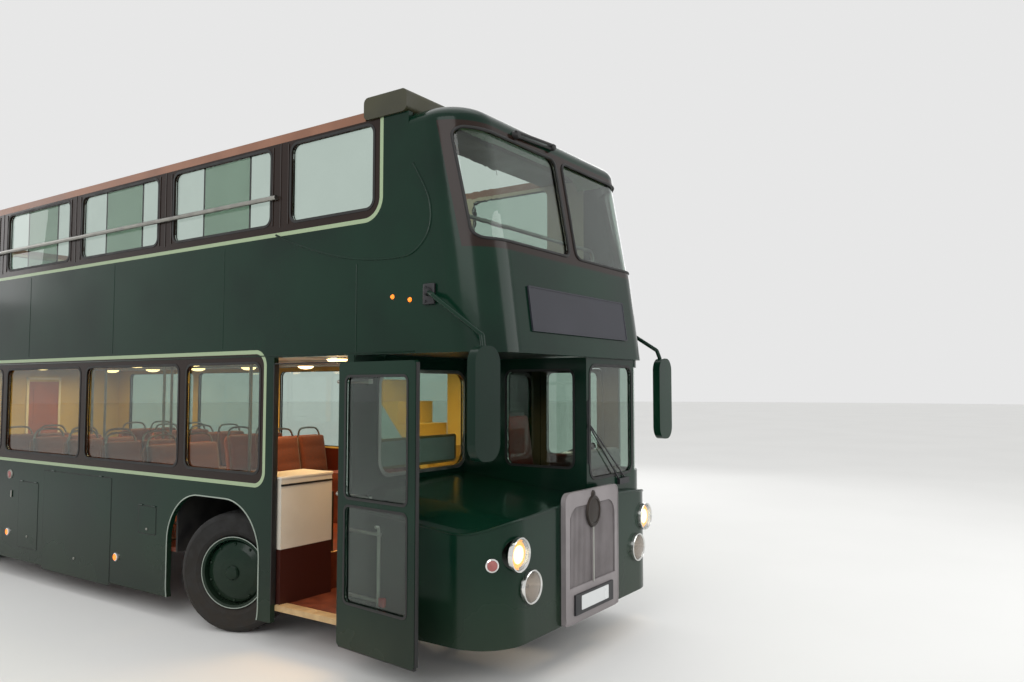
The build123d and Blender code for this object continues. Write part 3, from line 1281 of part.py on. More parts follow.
save(make_lower_seats(), "lower_seats")
save(make_upper_seats(), "upper_seats")
save(make_mirrors(), "mirrors")
save(make_wipers(), "wipers")
save(make_small_lamps(), "small_lamps")
save(make_cab_door(), "cab_door")
save(make_cab_door_glass(), "cab_door_glass")
save(make_engine_cover(), "engine_cover")
save(make_door_post(), "door_post")
save(make_door_leaf(), "door_leaf")
save(make_door_glass(), "door_glass")
twin_outer = TWIN_OUTER_X - TWIN_TYRE_WIDTH / 2
twin_inner = twin_outer - TWIN_TYRE_WIDTH - TWIN_GAP
for side, hand in ((-1, "right"), (1, "left")):
    save(make_knuckle(side), f"knuckle_{hand}")
    save(steered(make_front_wheel(side), side), f"wheel_front_{hand}")
    save(steered(make_tyre(side, side * WHEEL_X, FRONT_AXLE_Y, TYRE_WIDTH), side), f"tyre_front_{hand}")
    save(make_rear_wheel(side), f"wheel_rear_{hand}")
    with BuildPart() as twins:
        add(make_tyre(side, side * twin_outer, REAR_AXLE_Y, TWIN_TYRE_WIDTH))
        add(make_tyre(side, side * twin_inner, REAR_AXLE_Y, TWIN_TYRE_WIDTH))
    save(twins.part, f"tyre_rear_{hand}")
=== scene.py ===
# %% [markdown]
# # An open top double-deck bus, finished for the camera
# The solids of the bus are already made, to their real sizes in metres. This notebook leaves them where
# they are, gives every surface its finish, and adds what is too fine for the solids: lining stripes,
# window rubbers, tyre tread, cushions, lamp glass, flap outlines and fastenings.
# The front of the bus faces -Y, its left side is +X, and the ground is z = 0.

# %% Load the solids
import math

import bmesh
import bpy
from mathutils import Matrix, Vector


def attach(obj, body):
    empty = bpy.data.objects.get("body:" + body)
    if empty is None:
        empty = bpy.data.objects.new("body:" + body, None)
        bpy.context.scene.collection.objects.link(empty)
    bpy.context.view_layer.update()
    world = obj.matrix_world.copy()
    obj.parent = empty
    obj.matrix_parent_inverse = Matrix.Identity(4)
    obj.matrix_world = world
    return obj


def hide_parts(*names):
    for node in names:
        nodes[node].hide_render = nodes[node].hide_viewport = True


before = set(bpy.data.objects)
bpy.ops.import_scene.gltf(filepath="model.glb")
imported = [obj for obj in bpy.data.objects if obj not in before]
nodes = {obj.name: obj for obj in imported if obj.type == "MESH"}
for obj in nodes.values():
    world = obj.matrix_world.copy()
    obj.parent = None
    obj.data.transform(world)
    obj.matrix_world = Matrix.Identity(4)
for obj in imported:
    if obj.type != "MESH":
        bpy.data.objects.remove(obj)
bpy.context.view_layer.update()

# %% [markdown]
# ## Camera
# The bus is seen from its front right corner, from eye height, with a wide lens.
# A camera looks along its own -Z, so it is first stood upright and then turned to the right. A constraint
# could aim it at a target too, but two plain angles are easier to check.

# %% Place the camera
EYE = Vector((-5.553, -8.020, 2.089))
HEADING = math.radians(55.66)
PITCH = math.radians(3.3)
FOCAL_MM = 28.16
SENSOR_MM = 36
lens = bpy.data.cameras.new("camera")
lens.lens = FOCAL_MM
lens.sensor_width = SENSOR_MM
lens.clip_end = 200
camera = bpy.data.objects.new("camera", lens)
bpy.context.collection.objects.link(camera)
camera.location = EYE
camera.rotation_euler = (math.pi / 2 + PITCH, 0, -HEADING)
bpy.context.scene.camera = camera
print("camera at", tuple(EYE), "with a lens of", FOCAL_MM, "mm")

# %% [markdown]
# ## Nodes and colours
# Every finish below is a small tree of shader nodes. One function adds a node with its settings and its
# links, and one function turns a hex colour, as a screen shows it, into the linear numbers of a shader.

# %% Two helpers for materials
def linear(code):
    """Hex colour as seen on a screen, in the shader's linear values."""
    parts = [int(code[i:i + 2], 16) / 255 for i in (1, 3, 5)]
    return [p / 12.92 if p <= 0.04045 else ((p + 0.055) / 1.055) ** 2.4 for p in parts] + [1.0]


def add(mat, kind, links=None, values=None, **settings):
    """Adds one shader node: settings of the node, values of free sockets, links into the others."""
    made = mat.node_tree.nodes.new("ShaderNode" + kind)
    for name, value in settings.items():
        setattr(made, name, value)
    for socket, value in (values or {}).items():
        made.inputs[socket].default_value = value
    for socket, source in (links or {}).items():
        mat.node_tree.links.new(source, made.inputs[socket])
    return made


print("half grey on a screen is", round(linear("#808080")[0], 3), "of white in light")

# %% [markdown]
# ## Most finishes
# Paint, rubber, cloth and bare metal differ in colour and gloss, but all of them drift a little from place
# to place. One function makes that drift: patches of the grain's real size mix two colours and two
# values of roughness, and a finer noise lifts the surface by a real height. Dirt gathers near the road.

# %% A finish whose colour and gloss drift
ROAD_DUST = "#5d5347"
DUST_TOP = 0.9
DUST_FULL = 0.2


def finish(name, dark, light, grain, rough, height=0.0, fine=None, dirt=0.0, fixed=None):
    """Colours mix in patches of one grain, in metres; the fine noise lifts the surface by one height."""
    mat = bpy.data.materials.new(name)
    mat.use_nodes = True
    shader = mat.node_tree.nodes["Principled BSDF"]
    where = add(mat, "TexCoord").outputs["Object"]
    patches = add(mat, "TexNoise", {"Vector": where}, {"Scale": 1 / grain, "Detail": 5.0}).outputs["Fac"]
    spread = add(mat, "MapRange", {"Value": patches}, {"From Min": 0.3, "From Max": 0.7},
                 interpolation_type="SMOOTHSTEP").outputs["Result"]
    colour = add(mat, "Mix", {0: spread}, {6: linear(dark), 7: linear(light)}, data_type="RGBA").outputs[2]
    gloss = add(mat, "MapRange", {"Value": spread},
                {"To Min": rough[0], "To Max": rough[1]}).outputs["Result"]
    if dirt:
        up = add(mat, "SeparateXYZ", {0: where}).outputs["Z"]
        low = add(mat, "MapRange", {"Value": up},
                  {"From Min": DUST_TOP, "From Max": DUST_FULL, "To Max": dirt}).outputs[0]
        dusty = add(mat, "Math", {0: low, 1: patches}, operation="MULTIPLY").outputs[0]
        colour = add(mat, "Mix", {0: dusty, 6: colour}, {7: linear(ROAD_DUST)}, data_type="RGBA").outputs[2]
        gloss = add(mat, "Math", {0: gloss, 1: dusty}, operation="ADD").outputs[0]
    mat.node_tree.links.new(colour, shader.inputs["Base Color"])
    mat.node_tree.links.new(gloss, shader.inputs["Roughness"])
    if height:
        grit = add(mat, "TexNoise", {"Vector": where},
                   {"Scale": 1 / (fine or grain), "Detail": 3.0}).outputs["Fac"]
        lift = add(mat, "Bump", {"Height": grit}, {"Strength": 1.0, "Distance": height}).outputs["Normal"]
        mat.node_tree.links.new(lift, shader.inputs["Normal"])
    for socket, value in (fixed or {}).items():
        shader.inputs[socket].default_value = value
    return mat


# %% Paints
# Coach enamel is sprayed in thick coats and polished: deep, glossy, with a slow orange-peel wave.
ENAMEL = {"IOR": 1.42, "Specular IOR Level": 0.24, "Coat Weight": 0.06, "Coat Roughness": 0.06}
enamel = finish("coach_enamel_sprayed_green", "#071f16", "#0a291c", 0.9, (0.14, 0.22), 0.0003, 0.06, 0.25,
                ENAMEL)
sage = finish("coach_enamel_lined_sage", "#86a88a", "#93b496", 0.3, (0.22, 0.3), fixed=ENAMEL)
# Satin and brushed paints spread the light: softer and flatter than the enamel, with faint marks.
umber = finish("coach_enamel_satin_umber", "#1d1410", "#271b15", 0.4, (0.3, 0.42), 0.0002, 0.02)
cream = finish("interior_paint_brushed_cream", "#b39a52", "#c2aa62", 0.5, (0.4, 0.5), 0.0003, 0.03)
ivory = finish("interior_paint_brushed_ivory", "#a39a7e", "#b1a88c", 0.5, (0.4, 0.5), 0.0003, 0.03)
cab_lining = finish("cab_board_painted_tan", "#4a4230", "#5b523c", 0.3, (0.5, 0.65), 0.0003, 0.01)
ring_sage = finish("edge_bead_drawn_pale", "#8a958b", "#9aa49a", 0.2, (0.3, 0.4))
# A dipped chassis is rough, nearly black, and dusty towards the road.
chassis = finish("chassis_paint_dipped_black", "#121215", "#201f1c", 0.15, (0.5, 0.75), 0.0006, 0.01, 0.5)
# Paint on cast or rolled aluminium lets a little of the metal's grain through.
grey_cast = finish("aluminium_cast_painted_grey", "#7b7576", "#8b8586", 0.25, (0.35, 0.5), 0.0003, 0.006, 0.2)
sign_grey = finish("aluminium_sheet_painted_slate", "#2b2c33", "#34353c", 0.5, (0.4, 0.5), 0.0001, 0.01,
                   fixed={"Specular IOR Level": 0.25})
bronze = finish("aluminium_coated_bronze", "#7b523c", "#8e624a", 0.5, (0.3, 0.42), 0.0002, 0.01)
print("finishes so far:", len(bpy.data.materials))

# %% Metals
# Bare metal mirrors the room: softly if anodised, sharply if plated, streaked if brushed, dimly if cast.
METAL = {"Metallic": 1.0}
alloy = finish("aluminium_anodised_satin", "#a9a9a4", "#bcbcb6", 0.2, (0.3, 0.4), fixed=METAL)
chrome = finish("brass_plated_chrome", "#d9d9d6", "#e6e6e3", 0.2, (0.05, 0.12), fixed=METAL)
steel = finish("steel_tube_brushed", "#8d8c86", "#a3a29b", 0.1, (0.28, 0.4), 0.0001, 0.002, fixed=METAL)
badge_metal = finish("badge_cast_dark_bronze", "#2b2623", "#3a332e", 0.03, (0.3, 0.5), 0.0004, 0.004,
                     fixed={"Metallic": 0.7})

# %% Laminates, rubbers and plastics
# Pressed laminate and reflective sheet are hard, even and half glossy.
ceiling = finish("laminate_pressed_ivory", "#d8d2bd", "#e2dcc8", 0.6, (0.35, 0.45), 0.0002, 0.01)
maroon = finish("laminate_pressed_maroon", "#3d1511", "#4c1c16", 0.35, (0.35, 0.5), 0.0002, 0.01)
white = finish("laminate_pressed_white", "#c4beb0", "#d2ccbf", 0.5, (0.3, 0.4), 0.0001, 0.01)
plate_white = finish("plate_reflective_white", "#ced1d1", "#d3d5d5", 0.8, (0.25, 0.3))
# Rubber and linoleum are matt, and feet and weather leave them mottled.
rubber = finish("rubber_extruded_black", "#111111", "#191918", 0.1, (0.5, 0.65), 0.0002, 0.004)
deck_mat = finish("rubber_matting_ribbed_grey", "#3c3d3b", "#4a4b48", 0.2, (0.6, 0.8), 0.0008, 0.006)
lino = finish("linoleum_rolled_redbrown", "#4d2418", "#6d3826", 0.12, (0.45, 0.6), 0.0003, 0.006)
nosing = finish("step_nosing_moulded_buff", "#a98c62", "#bb9f74", 0.08, (0.6, 0.75), 0.0004, 0.004)
# Moulded plastic takes a fine grain from its mould, and its gloss is low.
plastic = finish("abs_moulded_black", "#17171a", "#202024", 0.2, (0.4, 0.55), 0.0002, 0.002)
cowl_grey = finish("cowl_moulded_grey", "#6c6c6a", "#7a7a77", 0.2, (0.5, 0.6), 0.0003, 0.004)
olive = finish("weatherproof_shell_moulded_olive", "#2b2b1a", "#393823", 0.3, (0.4, 0.6), 0.0006, 0.01)
shell_plastic = finish("seat_shell_moulded_orange_brown", "#8a4520", "#9c5228", 0.2, (0.35, 0.5), 0.0002,
                       0.004)
# Acrylic is coloured right through and lets light in; the amber lamps have a small bulb behind them.
ACRYLIC = {"Transmission Weight": 0.3, "IOR": 1.49}
amber = finish("acrylic_moulded_amber", "#d9701a", "#e8852a", 0.1, (0.15, 0.2),
               fixed={**ACRYLIC, "Emission Color": linear("#ff7a1e"), "Emission Strength": 1.6})
rose = finish("acrylic_moulded_rose", "#a8605c", "#bb7470", 0.05, (0.12, 0.2), fixed=ACRYLIC)
ruby = finish("acrylic_moulded_red", "#a3120e", "#b81c16", 0.1, (0.15, 0.2), fixed=ACRYLIC)
print("finishes:", len(bpy.data.materials))

# %% [markdown]
# ## Tyre rubber
# A tyre is moulded in a mould of two halves: the sidewall is matt and dusty, and the tread is worn pale
# where it meets the road. The distance from the axle would need a piece's own centre, so the dust simply
# grows towards the road, as it does on the body, only stronger.

# %% Tyre rubber
tyre_rubber = finish("rubber_vulcanised_tyre", "#0c0c0c", "#151413", 0.08, (0.65, 0.85), 0.0005, 0.004, 0.3)
print(tyre_rubber.name, "has", len(tyre_rubber.node_tree.nodes), "nodes")

# %% [markdown]
# ## Window glass
# Toughened glass is nearly clear, but a bus window looks dark because the saloon behind it is, and it
# shows the sky on its face. A little green tint, uneven where hands and rain have smeared the pane, and a
# perfectly smooth surface give both.
# A path tracer treats glass as opaque to lamps, so the glass is mixed with a transparent shader for
# shadow rays, and the light gets into the saloon.

# %% Glass for windows and lamps
GLASS_IOR = 1.45
SMEARS = 2.5


def glazing(name, tint, smeared):
    """Clear glass with a slight tint that smears change a little, and no shadow of its own."""
    mat = bpy.data.materials.new(name)
    mat.use_nodes = True
    shader = mat.node_tree.nodes["Principled BSDF"]
    shader.inputs["Roughness"].default_value = 0.0
    shader.inputs["IOR"].default_value = GLASS_IOR
    shader.inputs["Transmission Weight"].default_value = 1.0
    where = add(mat, "TexCoord").outputs["Object"]
    smear = add(mat, "TexNoise", {"Vector": where}, {"Scale": SMEARS, "Detail": 4.0}).outputs["Fac"]
    hue = add(mat, "Mix", {0: smear}, {6: linear(tint), 7: linear(smeared)}, data_type="RGBA").outputs[2]
    mat.node_tree.links.new(hue, shader.inputs["Base Color"])
    shade = add(mat, "LightPath").outputs["Is Shadow Ray"]
    clear = add(mat, "BsdfTransparent", None, {"Color": linear(tint)}).outputs[0]
    both = add(mat, "MixShader", {0: shade, 1: shader.outputs[0], 2: clear}).outputs[0]
    mat.node_tree.links.new(both, mat.node_tree.nodes["Material Output"].inputs["Surface"])
    return mat


# Body-tinted glass is green right through. Pressed lamp glass is clear, and dust dulls the fog lamps'.
window_glass = glazing("glass_toughened_tinted", "#c3d3ca", "#b9c9c0")
shade_glass = glazing("glass_body_tinted_green", "#a3b8a6", "#98ad9b")
lamp_glass = glazing("glass_pressed_lamp", "#f1f4f5", "#e6eaec")
fog_glass = glazing("glass_pressed_fog_lamp", "#d6cec6", "#c8bfb6")
print("kinds of glass:", [mat.name for mat in (window_glass, shade_glass, lamp_glass, fog_glass)])

# %% [markdown]
# ## Lamps that are lit
# The upper headlamps and the saloon lamps are on. Their bulbs, bowls and opal covers glow by themselves,
# with the warm colour of a filament, and their gloss is a little uneven, as on moulded acrylic. Their
# colour is the same all over, so it is set on the shader itself, and the node that would mix it is taken out.

# %% Glowing finishes
def glowing(name, colour, strength):
    """An opal or filament that gives its own warm light."""
    mat = finish(name, colour, colour, 0.05, (0.3, 0.4))
    shader = mat.node_tree.nodes["Principled BSDF"]
    mat.node_tree.nodes.remove(shader.inputs["Base Color"].links[0].from_node)
    shader.inputs["Base Color"].default_value = linear(colour)
    shader.inputs["Emission Color"].default_value = linear(colour)
    shader.inputs["Emission Strength"].default_value = strength
    return mat


lit_bulb = glowing("filament_lit_warm", "#ffdf9e", 3.0)
lit_bowl = glowing("reflector_lit_amber", "#ffa94d", 1.3)
opal = glowing("acrylic_opal_lit", "#ffd79a", 4.0)
print("glowing:", [mat.name for mat in (lit_bulb, lit_bowl, opal)])

# %% [markdown]
# ## Lining on the body sides
# The real bus has two pale sage lines, each a long loop with round corners, and the window bands
# inside them are dark brown. They are paint, so they belong in the enamel and not in the shape. The
# distance to a rounded rectangle gives both: below zero is the band, and near zero is the line.

# %% Enamel with its lining
# Each loop is the middle and half length along the bus, the middle and half height, and the corner radius.
LOOPS = [(1.14, 7.52 / 2, 1.83, 0.55, 0.12), (1.13, 10.07 / 2, 3.94, 0.60, 0.17)]
HALF_LINE = 0.0165
LINE = "#95a686"
BAND = "#231813"


def edge_of(mat, across, up, loop):
    """Distance of a place from a rounded rectangle in two coordinates, negative inside it."""
    middle_a, half_a, middle_b, half_b, radius = loop
    offs = []
    for source, middle, half in ((across, middle_a, half_a), (up, middle_b, half_b)):
        shift = add(mat, "Math", {0: source}, {1: middle}, operation="SUBTRACT").outputs[0]
        size = add(mat, "Math", {0: shift}, operation="ABSOLUTE").outputs[0]
        offs.append(add(mat, "Math", {0: size}, {1: half - radius}, operation="SUBTRACT").outputs[0])
    both = add(mat, "CombineXYZ", {"X": offs[0], "Y": offs[1]}).outputs[0]
    outside = add(mat, "VectorMath", {0: both}, operation="MAXIMUM").outputs[0]
    reach = add(mat, "VectorMath", {0: outside}, operation="LENGTH").outputs["Value"]
    deepest = add(mat, "Math", {0: offs[0], 1: offs[1]}, operation="MAXIMUM").outputs[0]
    inside = add(mat, "Math", {0: deepest}, {1: 0.0}, operation="MINIMUM").outputs[0]
    total = add(mat, "Math", {0: reach, 1: inside}, operation="ADD").outputs[0]
    return add(mat, "Math", {0: total}, {1: radius}, operation="SUBTRACT").outputs[0]


def tint_where(mat, mask, code):
    """Lays one more paint colour over a finish where the mask is 1."""
    shader = mat.node_tree.nodes["Principled BSDF"]
    base = shader.inputs["Base Color"].links[0].from_socket
    colour = add(mat, "Mix", {0: mask, 6: base}, {7: linear(code)}, data_type="RGBA").outputs[2]
    mat.node_tree.links.new(colour, shader.inputs["Base Color"])


def copy_of(mat, name):
    """A copy of a finish, with the split coordinates of the place for a mask."""
    made = mat.copy()
    made.name = name
    place = add(made, "TexCoord").outputs["Object"]
    return made, add(made, "SeparateXYZ", {0: place}).outputs


side_enamel, part = copy_of(enamel, "coach_enamel_lined_sides")
for loop in LOOPS:
    away = edge_of(side_enamel, part["Y"], part["Z"], loop)
    within = add(side_enamel, "Math", {0: away}, {1: 0.0}, operation="LESS_THAN").outputs[0]
    tint_where(side_enamel, within, BAND)
    near = add(side_enamel, "Math", {0: away}, operation="ABSOLUTE").outputs[0]
    line = add(side_enamel, "Math", {0: near}, {1: HALF_LINE}, operation="LESS_THAN").outputs[0]
    tint_where(side_enamel, line, LINE)
print("lining loops:", len(LOOPS))

# %% [markdown]
# ## Paint that changes at a height or at the windscreens
# The same masks paint the dark surround of the upper windscreens, the brown foot of the counter, the
# dark lower half of the saloon's inner lining and the dark underside ahead of the bulkhead. The surround
# ends along a line that leans back with the front, so the leaning height is taken off before it is cut.

# %% Surround of the windscreens and two-coloured linings
LEAN = 0.2375
SURROUND_Y = -4.628
MEASURED_AT_Z = 3.1
SURROUND_Z = (3.062, 3.985)
front_enamel, part = copy_of(enamel, "coach_enamel_windscreen_surround")
lean = add(front_enamel, "Math", {0: part["Z"]}, {1: LEAN}, operation="MULTIPLY").outputs[0]
back = add(front_enamel, "Math", {0: part["Y"], 1: lean}, operation="SUBTRACT").outputs[0]
upright = SURROUND_Y - LEAN * MEASURED_AT_Z
band = add(front_enamel, "Math", {0: back}, {1: upright}, operation="LESS_THAN").outputs[0]
for test, limit in zip(("GREATER_THAN", "LESS_THAN"), SURROUND_Z):
    past = add(front_enamel, "Math", {0: part["Z"]}, {1: limit}, operation=test).outputs[0]
    band = add(front_enamel, "Math", {0: band, 1: past}, operation="MULTIPLY").outputs[0]
tint_where(front_enamel, band, BAND)


def two_tone(base, name, axis, limit, code):
    """A copy of a finish that has another colour where one coordinate is below a limit."""
    made, place = copy_of(base, name)
    below = add(made, "Math", {0: place[axis]}, {1: limit}, operation="LESS_THAN").outputs[0]
    tint_where(made, below, code)
    return made


counter_white = two_tone(white, "laminate_pressed_white_over_brown", "Z", 0.775, "#3a1b16")
soffit = two_tone(ceiling, "laminate_pressed_ivory_dark_ahead", "Y", -3.63, "#121a15")
inner_lining = two_tone(cream, "laminate_pressed_cream_over_maroon", "Z", 1.36, "#45190f")
print("finishes with their masks:", len(bpy.data.materials))

# %% [markdown]
# ## Finishes on the solids
# A solid keeps its shape and gets its material. Many solids are one sheet with the coach's colour
# outside and the saloon's inside, so faces may be picked by where their middle lies. Only the material
# slots change, and no vertex moves.

# %% Give the solids their finishes
def paint(names, mat, test=None):
    """Puts a material on whole solids, or on those faces whose middle and normal pass the test."""
    for name in names:
        mesh = nodes[name].data
        if test is None:
            mesh.materials.clear()
            mesh.materials.append(mat)
            continue
        mesh.materials.append(mat)
        index = len(mesh.materials) - 1
        for face in mesh.polygons:
            if test(face.center, face.normal):
                face.material_index = index


# %% Finishes of the whole solids, and of faces picked on them
# The tests pick the dome's rim, the platform's edge, the deck's underside, the tops of the wheel boxes, the
# sign board, the dash, the rear and corner lamps, and the inner faces of sides, walls, bulkhead and cab.
INSIDE_X = 1.206
LOWER_SIDES = ["lower_side_left", "lower_side_right"]
UPPER_SIDES = ["upper_side_left", "upper_side_right"]
REAR_WALLS = ["lower_rear_wall", "upper_rear_wall"]
paint(LOWER_SIDES + UPPER_SIDES, side_enamel)
paint(REAR_WALLS + ["upper_front_panel", "front_wings", "bonnet", "cab_shell", "bulkhead", "cab_door",
                    "door_leaf", "engine_cover", "mirrors", "wheel_front_left", "wheel_front_right",
                    "wheel_rear_left", "wheel_rear_right"], enamel)
paint(["front_dome"], front_enamel)
paint(["front_dome"], sage, lambda c, n: n.z < -0.2 and c.z > 4.0)
paint(["chassis_frame", "front_axle_beam", "rear_axle_housing", "knuckle_left", "knuckle_right",
       "engine_block", "wheel_boxes"], chassis)
paint(["lower_floor"], lino)
paint(["lower_floor"], nosing, lambda c, n: n.x < -0.9 and c.y < -2.7)
paint(["upper_floor"], deck_mat)
paint(["upper_floor"], soffit, lambda c, n: n.z < -0.5)
paint(["wheel_boxes"], lino, lambda c, n: n.z > 0.5 and c.z > 1.16 or abs(c.x) < 0.53)
paint(["saloon_end_wall", "staircase"], cream)
paint(["grille"], grey_cast)
paint(["headlamps"], chrome)
paint(["blank_plates", "driver_controls", "wipers"], plastic)
paint(["blank_plates"], sign_grey, lambda c, n: c.z > 1.5)
paint(["driver_controls"], maroon, lambda c, n: c.y < -4.5 and c.z > 1.1)
paint(["top_rail"], bronze)
paint(["roof_stack_housing"], olive)
paint(["handrails", "guard_rails", "door_post"], steel)
paint(["lower_glass", "upper_glass", "cab_door_glass", "door_glass"], window_glass)
paint(["counter"], counter_white)
paint(["small_lamps"], amber)
paint(["small_lamps"], ruby, lambda c, n: c.y > 4.9)
paint(["small_lamps"], rose, lambda c, n: c.y < -4.7 and 0.8 < c.z < 1.0)
paint(["tyre_front_left", "tyre_front_right", "tyre_rear_left", "tyre_rear_right"], tyre_rubber)
paint(["lower_seats", "upper_seats"], maroon)
paint(LOWER_SIDES, inner_lining, lambda c, n: abs(c.x) < INSIDE_X)
paint(UPPER_SIDES, ivory, lambda c, n: abs(c.x) < INSIDE_X)
paint(REAR_WALLS, ivory, lambda c, n: n.y < -0.5 and c.y > 4.9)
paint(["bulkhead"], inner_lining, lambda c, n: n.y > 0.5)


def inside_cab(c, n):
    """True on the inner face of the cab's side walls, which lie at two places, and of its front."""
    on_wall = abs(n.x) > 0.9 and min(abs(c.x - 0.14), abs(c.x - 1.21)) < 0.002
    return on_wall or n.y > 0.9 and abs(c.y + 4.84) < 0.002


paint(["cab_shell", "cab_door"], cab_lining, inside_cab)
print("finishes on the solids:", len({mat.name for node in nodes.values() for mat in node.data.materials}))

# %% [markdown]
# ## Making pieces
# The small parts are all made by a few moves: a flat plate with rounded corners that is pushed up to its
# thickness, a block with bevelled edges, an outline spun round its axis, a straight rod and a bent bar.
# The first three are drawn flat or upright at the origin and then moved, in the mesh itself, to their
# place on the bus.

# %% Sides of the bus
SIDE_X = 1.25
REAR_Y = 4.985
HANDS = (("right", -1), ("left", 1))
OUTWARD = {"right": (-1, 0, 0), "left": (1, 0, 0), "front": (0, -1, 0), "back": (0, 1, 0)}


def facing(side, place, lean=0.0):
    """Matrix that stands a flat drawing on one side of the bus, its own +Z outwards and +Y up."""
    out = Vector(OUTWARD[side])
    up = Vector((0, 0, 1))
    stand = Matrix((up.cross(out), up, out)).transposed().to_4x4()
    return Matrix.Translation(place) @ stand @ Matrix.Rotation(math.radians(lean), 4, "X")


# %% Plates and blocks
def plate(bm, width, height, radius, matrix, thick, ring=0.0, steps=6):
    """A rounded plate, or a rounded frame if a ring width is given, raised from its place."""
    start = set(bm.verts)
    flat = bmesh.ops.create_grid(bm, x_segments=1, y_segments=1, size=0.5)["verts"]
    bmesh.ops.scale(bm, vec=(width, height, 1), verts=flat)
    bmesh.ops.bevel(bm, geom=flat, offset=radius, segments=steps, profile=0.5, affect="VERTICES", material=-1)
    face = [f for f in bm.faces if set(f.verts).isdisjoint(start)]
    if ring:
        rim = bmesh.ops.inset_individual(bm, faces=face, thickness=ring, use_even_offset=True)["faces"]
        bmesh.ops.delete(bm, geom=face, context="FACES")
        face = rim
    grown = bmesh.ops.extrude_face_region(bm, geom=face)["geom"]
    top = [v for v in grown if isinstance(v, bmesh.types.BMVert)]
    bmesh.ops.translate(bm, vec=(0, 0, thick), verts=top)
    fresh = [v for v in bm.verts if v not in start]
    bmesh.ops.transform(bm, matrix=matrix, verts=fresh)
    return fresh


def block(bm, size, middle, edge, turn=None):
    """A block with rounded edges, turned about its own middle if a turn is given."""
    start = set(bm.verts)
    made = bmesh.ops.create_cube(bm, size=1)["verts"]
    bmesh.ops.scale(bm, vec=size, verts=made)
    edges = list({e for v in made for e in v.link_edges})
    bmesh.ops.bevel(bm, geom=edges, offset=edge, segments=3, profile=0.5, affect="EDGES", material=-1)
    fresh = [v for v in bm.verts if v not in start]
    bmesh.ops.transform(bm, matrix=Matrix.Translation(middle) @ (turn or Matrix()), verts=fresh)
    return fresh


# %% Spun outlines
def turned(bm, outline, matrix, steps=40, closed=False):
    """Spins an outline of radius and height once about its own Z."""
    start = set(bm.verts)
    line = [bm.verts.new((radius, 0, height)) for radius, height in outline]
    pairs = list(zip(line, line[1:])) + ([(line[-1], line[0])] if closed else [])
    edges = [bm.edges.new(pair) for pair in pairs]
    bmesh.ops.spin(bm, geom=line + edges, axis=(0, 0, 1), cent=(0, 0, 0), angle=2 * math.pi, steps=steps,
                   use_merge=True)
    fresh = [v for v in bm.verts if v not in start]
    bmesh.ops.remove_doubles(bm, verts=fresh, dist=1e-5)
    fresh = [v for v in bm.verts if v not in start]
    bmesh.ops.transform(bm, matrix=matrix, verts=fresh)
    return fresh


# %% Straight and bent bars
def rod(bm, start, end, radius, sides=16):
    """A straight round bar between two places."""
    way = Vector(end) - Vector(start)
    made = bmesh.ops.create_cone(bm, cap_ends=True, segments=sides, radius1=radius, radius2=radius,
                                 depth=way.length)["verts"]
    stand = way.to_track_quat("Z", "Y").to_matrix().to_4x4()
    bmesh.ops.transform(bm, matrix=Matrix.Translation((Vector(start) + Vector(end)) / 2) @ stand, verts=made)


def bent(bm, points, radius, closed=False):
    """A round bar along a smooth line near the points; the line is a curve and is made a mesh."""
    curve = bpy.data.curves.new("line", "CURVE")
    curve.dimensions = "3D"
    curve.bevel_depth = radius
    curve.bevel_resolution = 3
    curve.resolution_u = 6
    curve.use_fill_caps = not closed
    spline = curve.splines.new("NURBS")
    spline.points.add(len(points) - 1)
    for point, place in zip(spline.points, points):
        point.co = (*place, 1)
    spline.use_cyclic_u = closed
    spline.use_endpoint_u = not closed
    spline.order_u = 3
    carrier = bpy.data.objects.new("line", curve)
    mesh = bpy.data.meshes.new_from_object(carrier)
    bm.from_mesh(mesh)
    bpy.data.objects.remove(carrier)
    bpy.data.curves.remove(curve)
    bpy.data.meshes.remove(mesh)


# %% From a drawing to a piece
def piece(name, bm, mat, body="bus", sharp=35):
    """Turns the drawn shape into an object with its finish, riding on one body."""
    bmesh.ops.recalc_face_normals(bm, faces=bm.faces)
    mesh = bpy.data.meshes.new(name)
    bm.to_mesh(mesh)
    bm.free()
    mesh.shade_smooth()
    mesh.set_sharp_from_angle(angle=math.radians(sharp))
    mesh.materials.append(mat)
    made = bpy.data.objects.new(name, mesh)
    bpy.context.collection.objects.link(made)
    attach(made, body)
    print(name, len(mesh.polygons), "faces")
    return made


def single(name, mat, slot, move, *shape, body="bus", **more):
    """A piece that one of the moves makes alone."""
    bm = bmesh.new()
    move(bm, *shape, **more)
    return piece(name, bm, mat, body)


# %% [markdown]
# ## Tyres
# A bus tyre has a bead that sits on the rim, a bulging sidewall with thin moulded rings, a shoulder, and
# five ribs with grooves between them. Half of the outline is listed, the other half is its mirror, and one
# spin makes the ring. Short cross grooves are then pushed into the ribs, every few steps round.

# %% Tyre outline and ring
TYRE_HALF = [(0.3003, 0.110), (0.316, 0.124), (0.334, 0.1335), (0.350, 0.1375), (0.353, 0.1390),
             (0.357, 0.1375), (0.400, 0.1395), (0.440, 0.1390), (0.455, 0.1375), (0.458, 0.1385),
             (0.462, 0.1370), (0.486, 0.127), (0.4985, 0.113), (0.5045, 0.104), (0.5075, 0.078),
             (0.495, 0.076), (0.495, 0.068), (0.508, 0.066), (0.5095, 0.026), (0.496, 0.024),
             (0.496, 0.016), (0.5095, 0.014), (0.5100, 0.000)]
TYRE_WIDTH = 0.28
TYRE_STEPS = 180
TREAD_RADIUS = 0.503
SHOULDER = (0.08, 0.104)
RIB = (0.03, 0.06)
CUT_DEPTH = 0.009


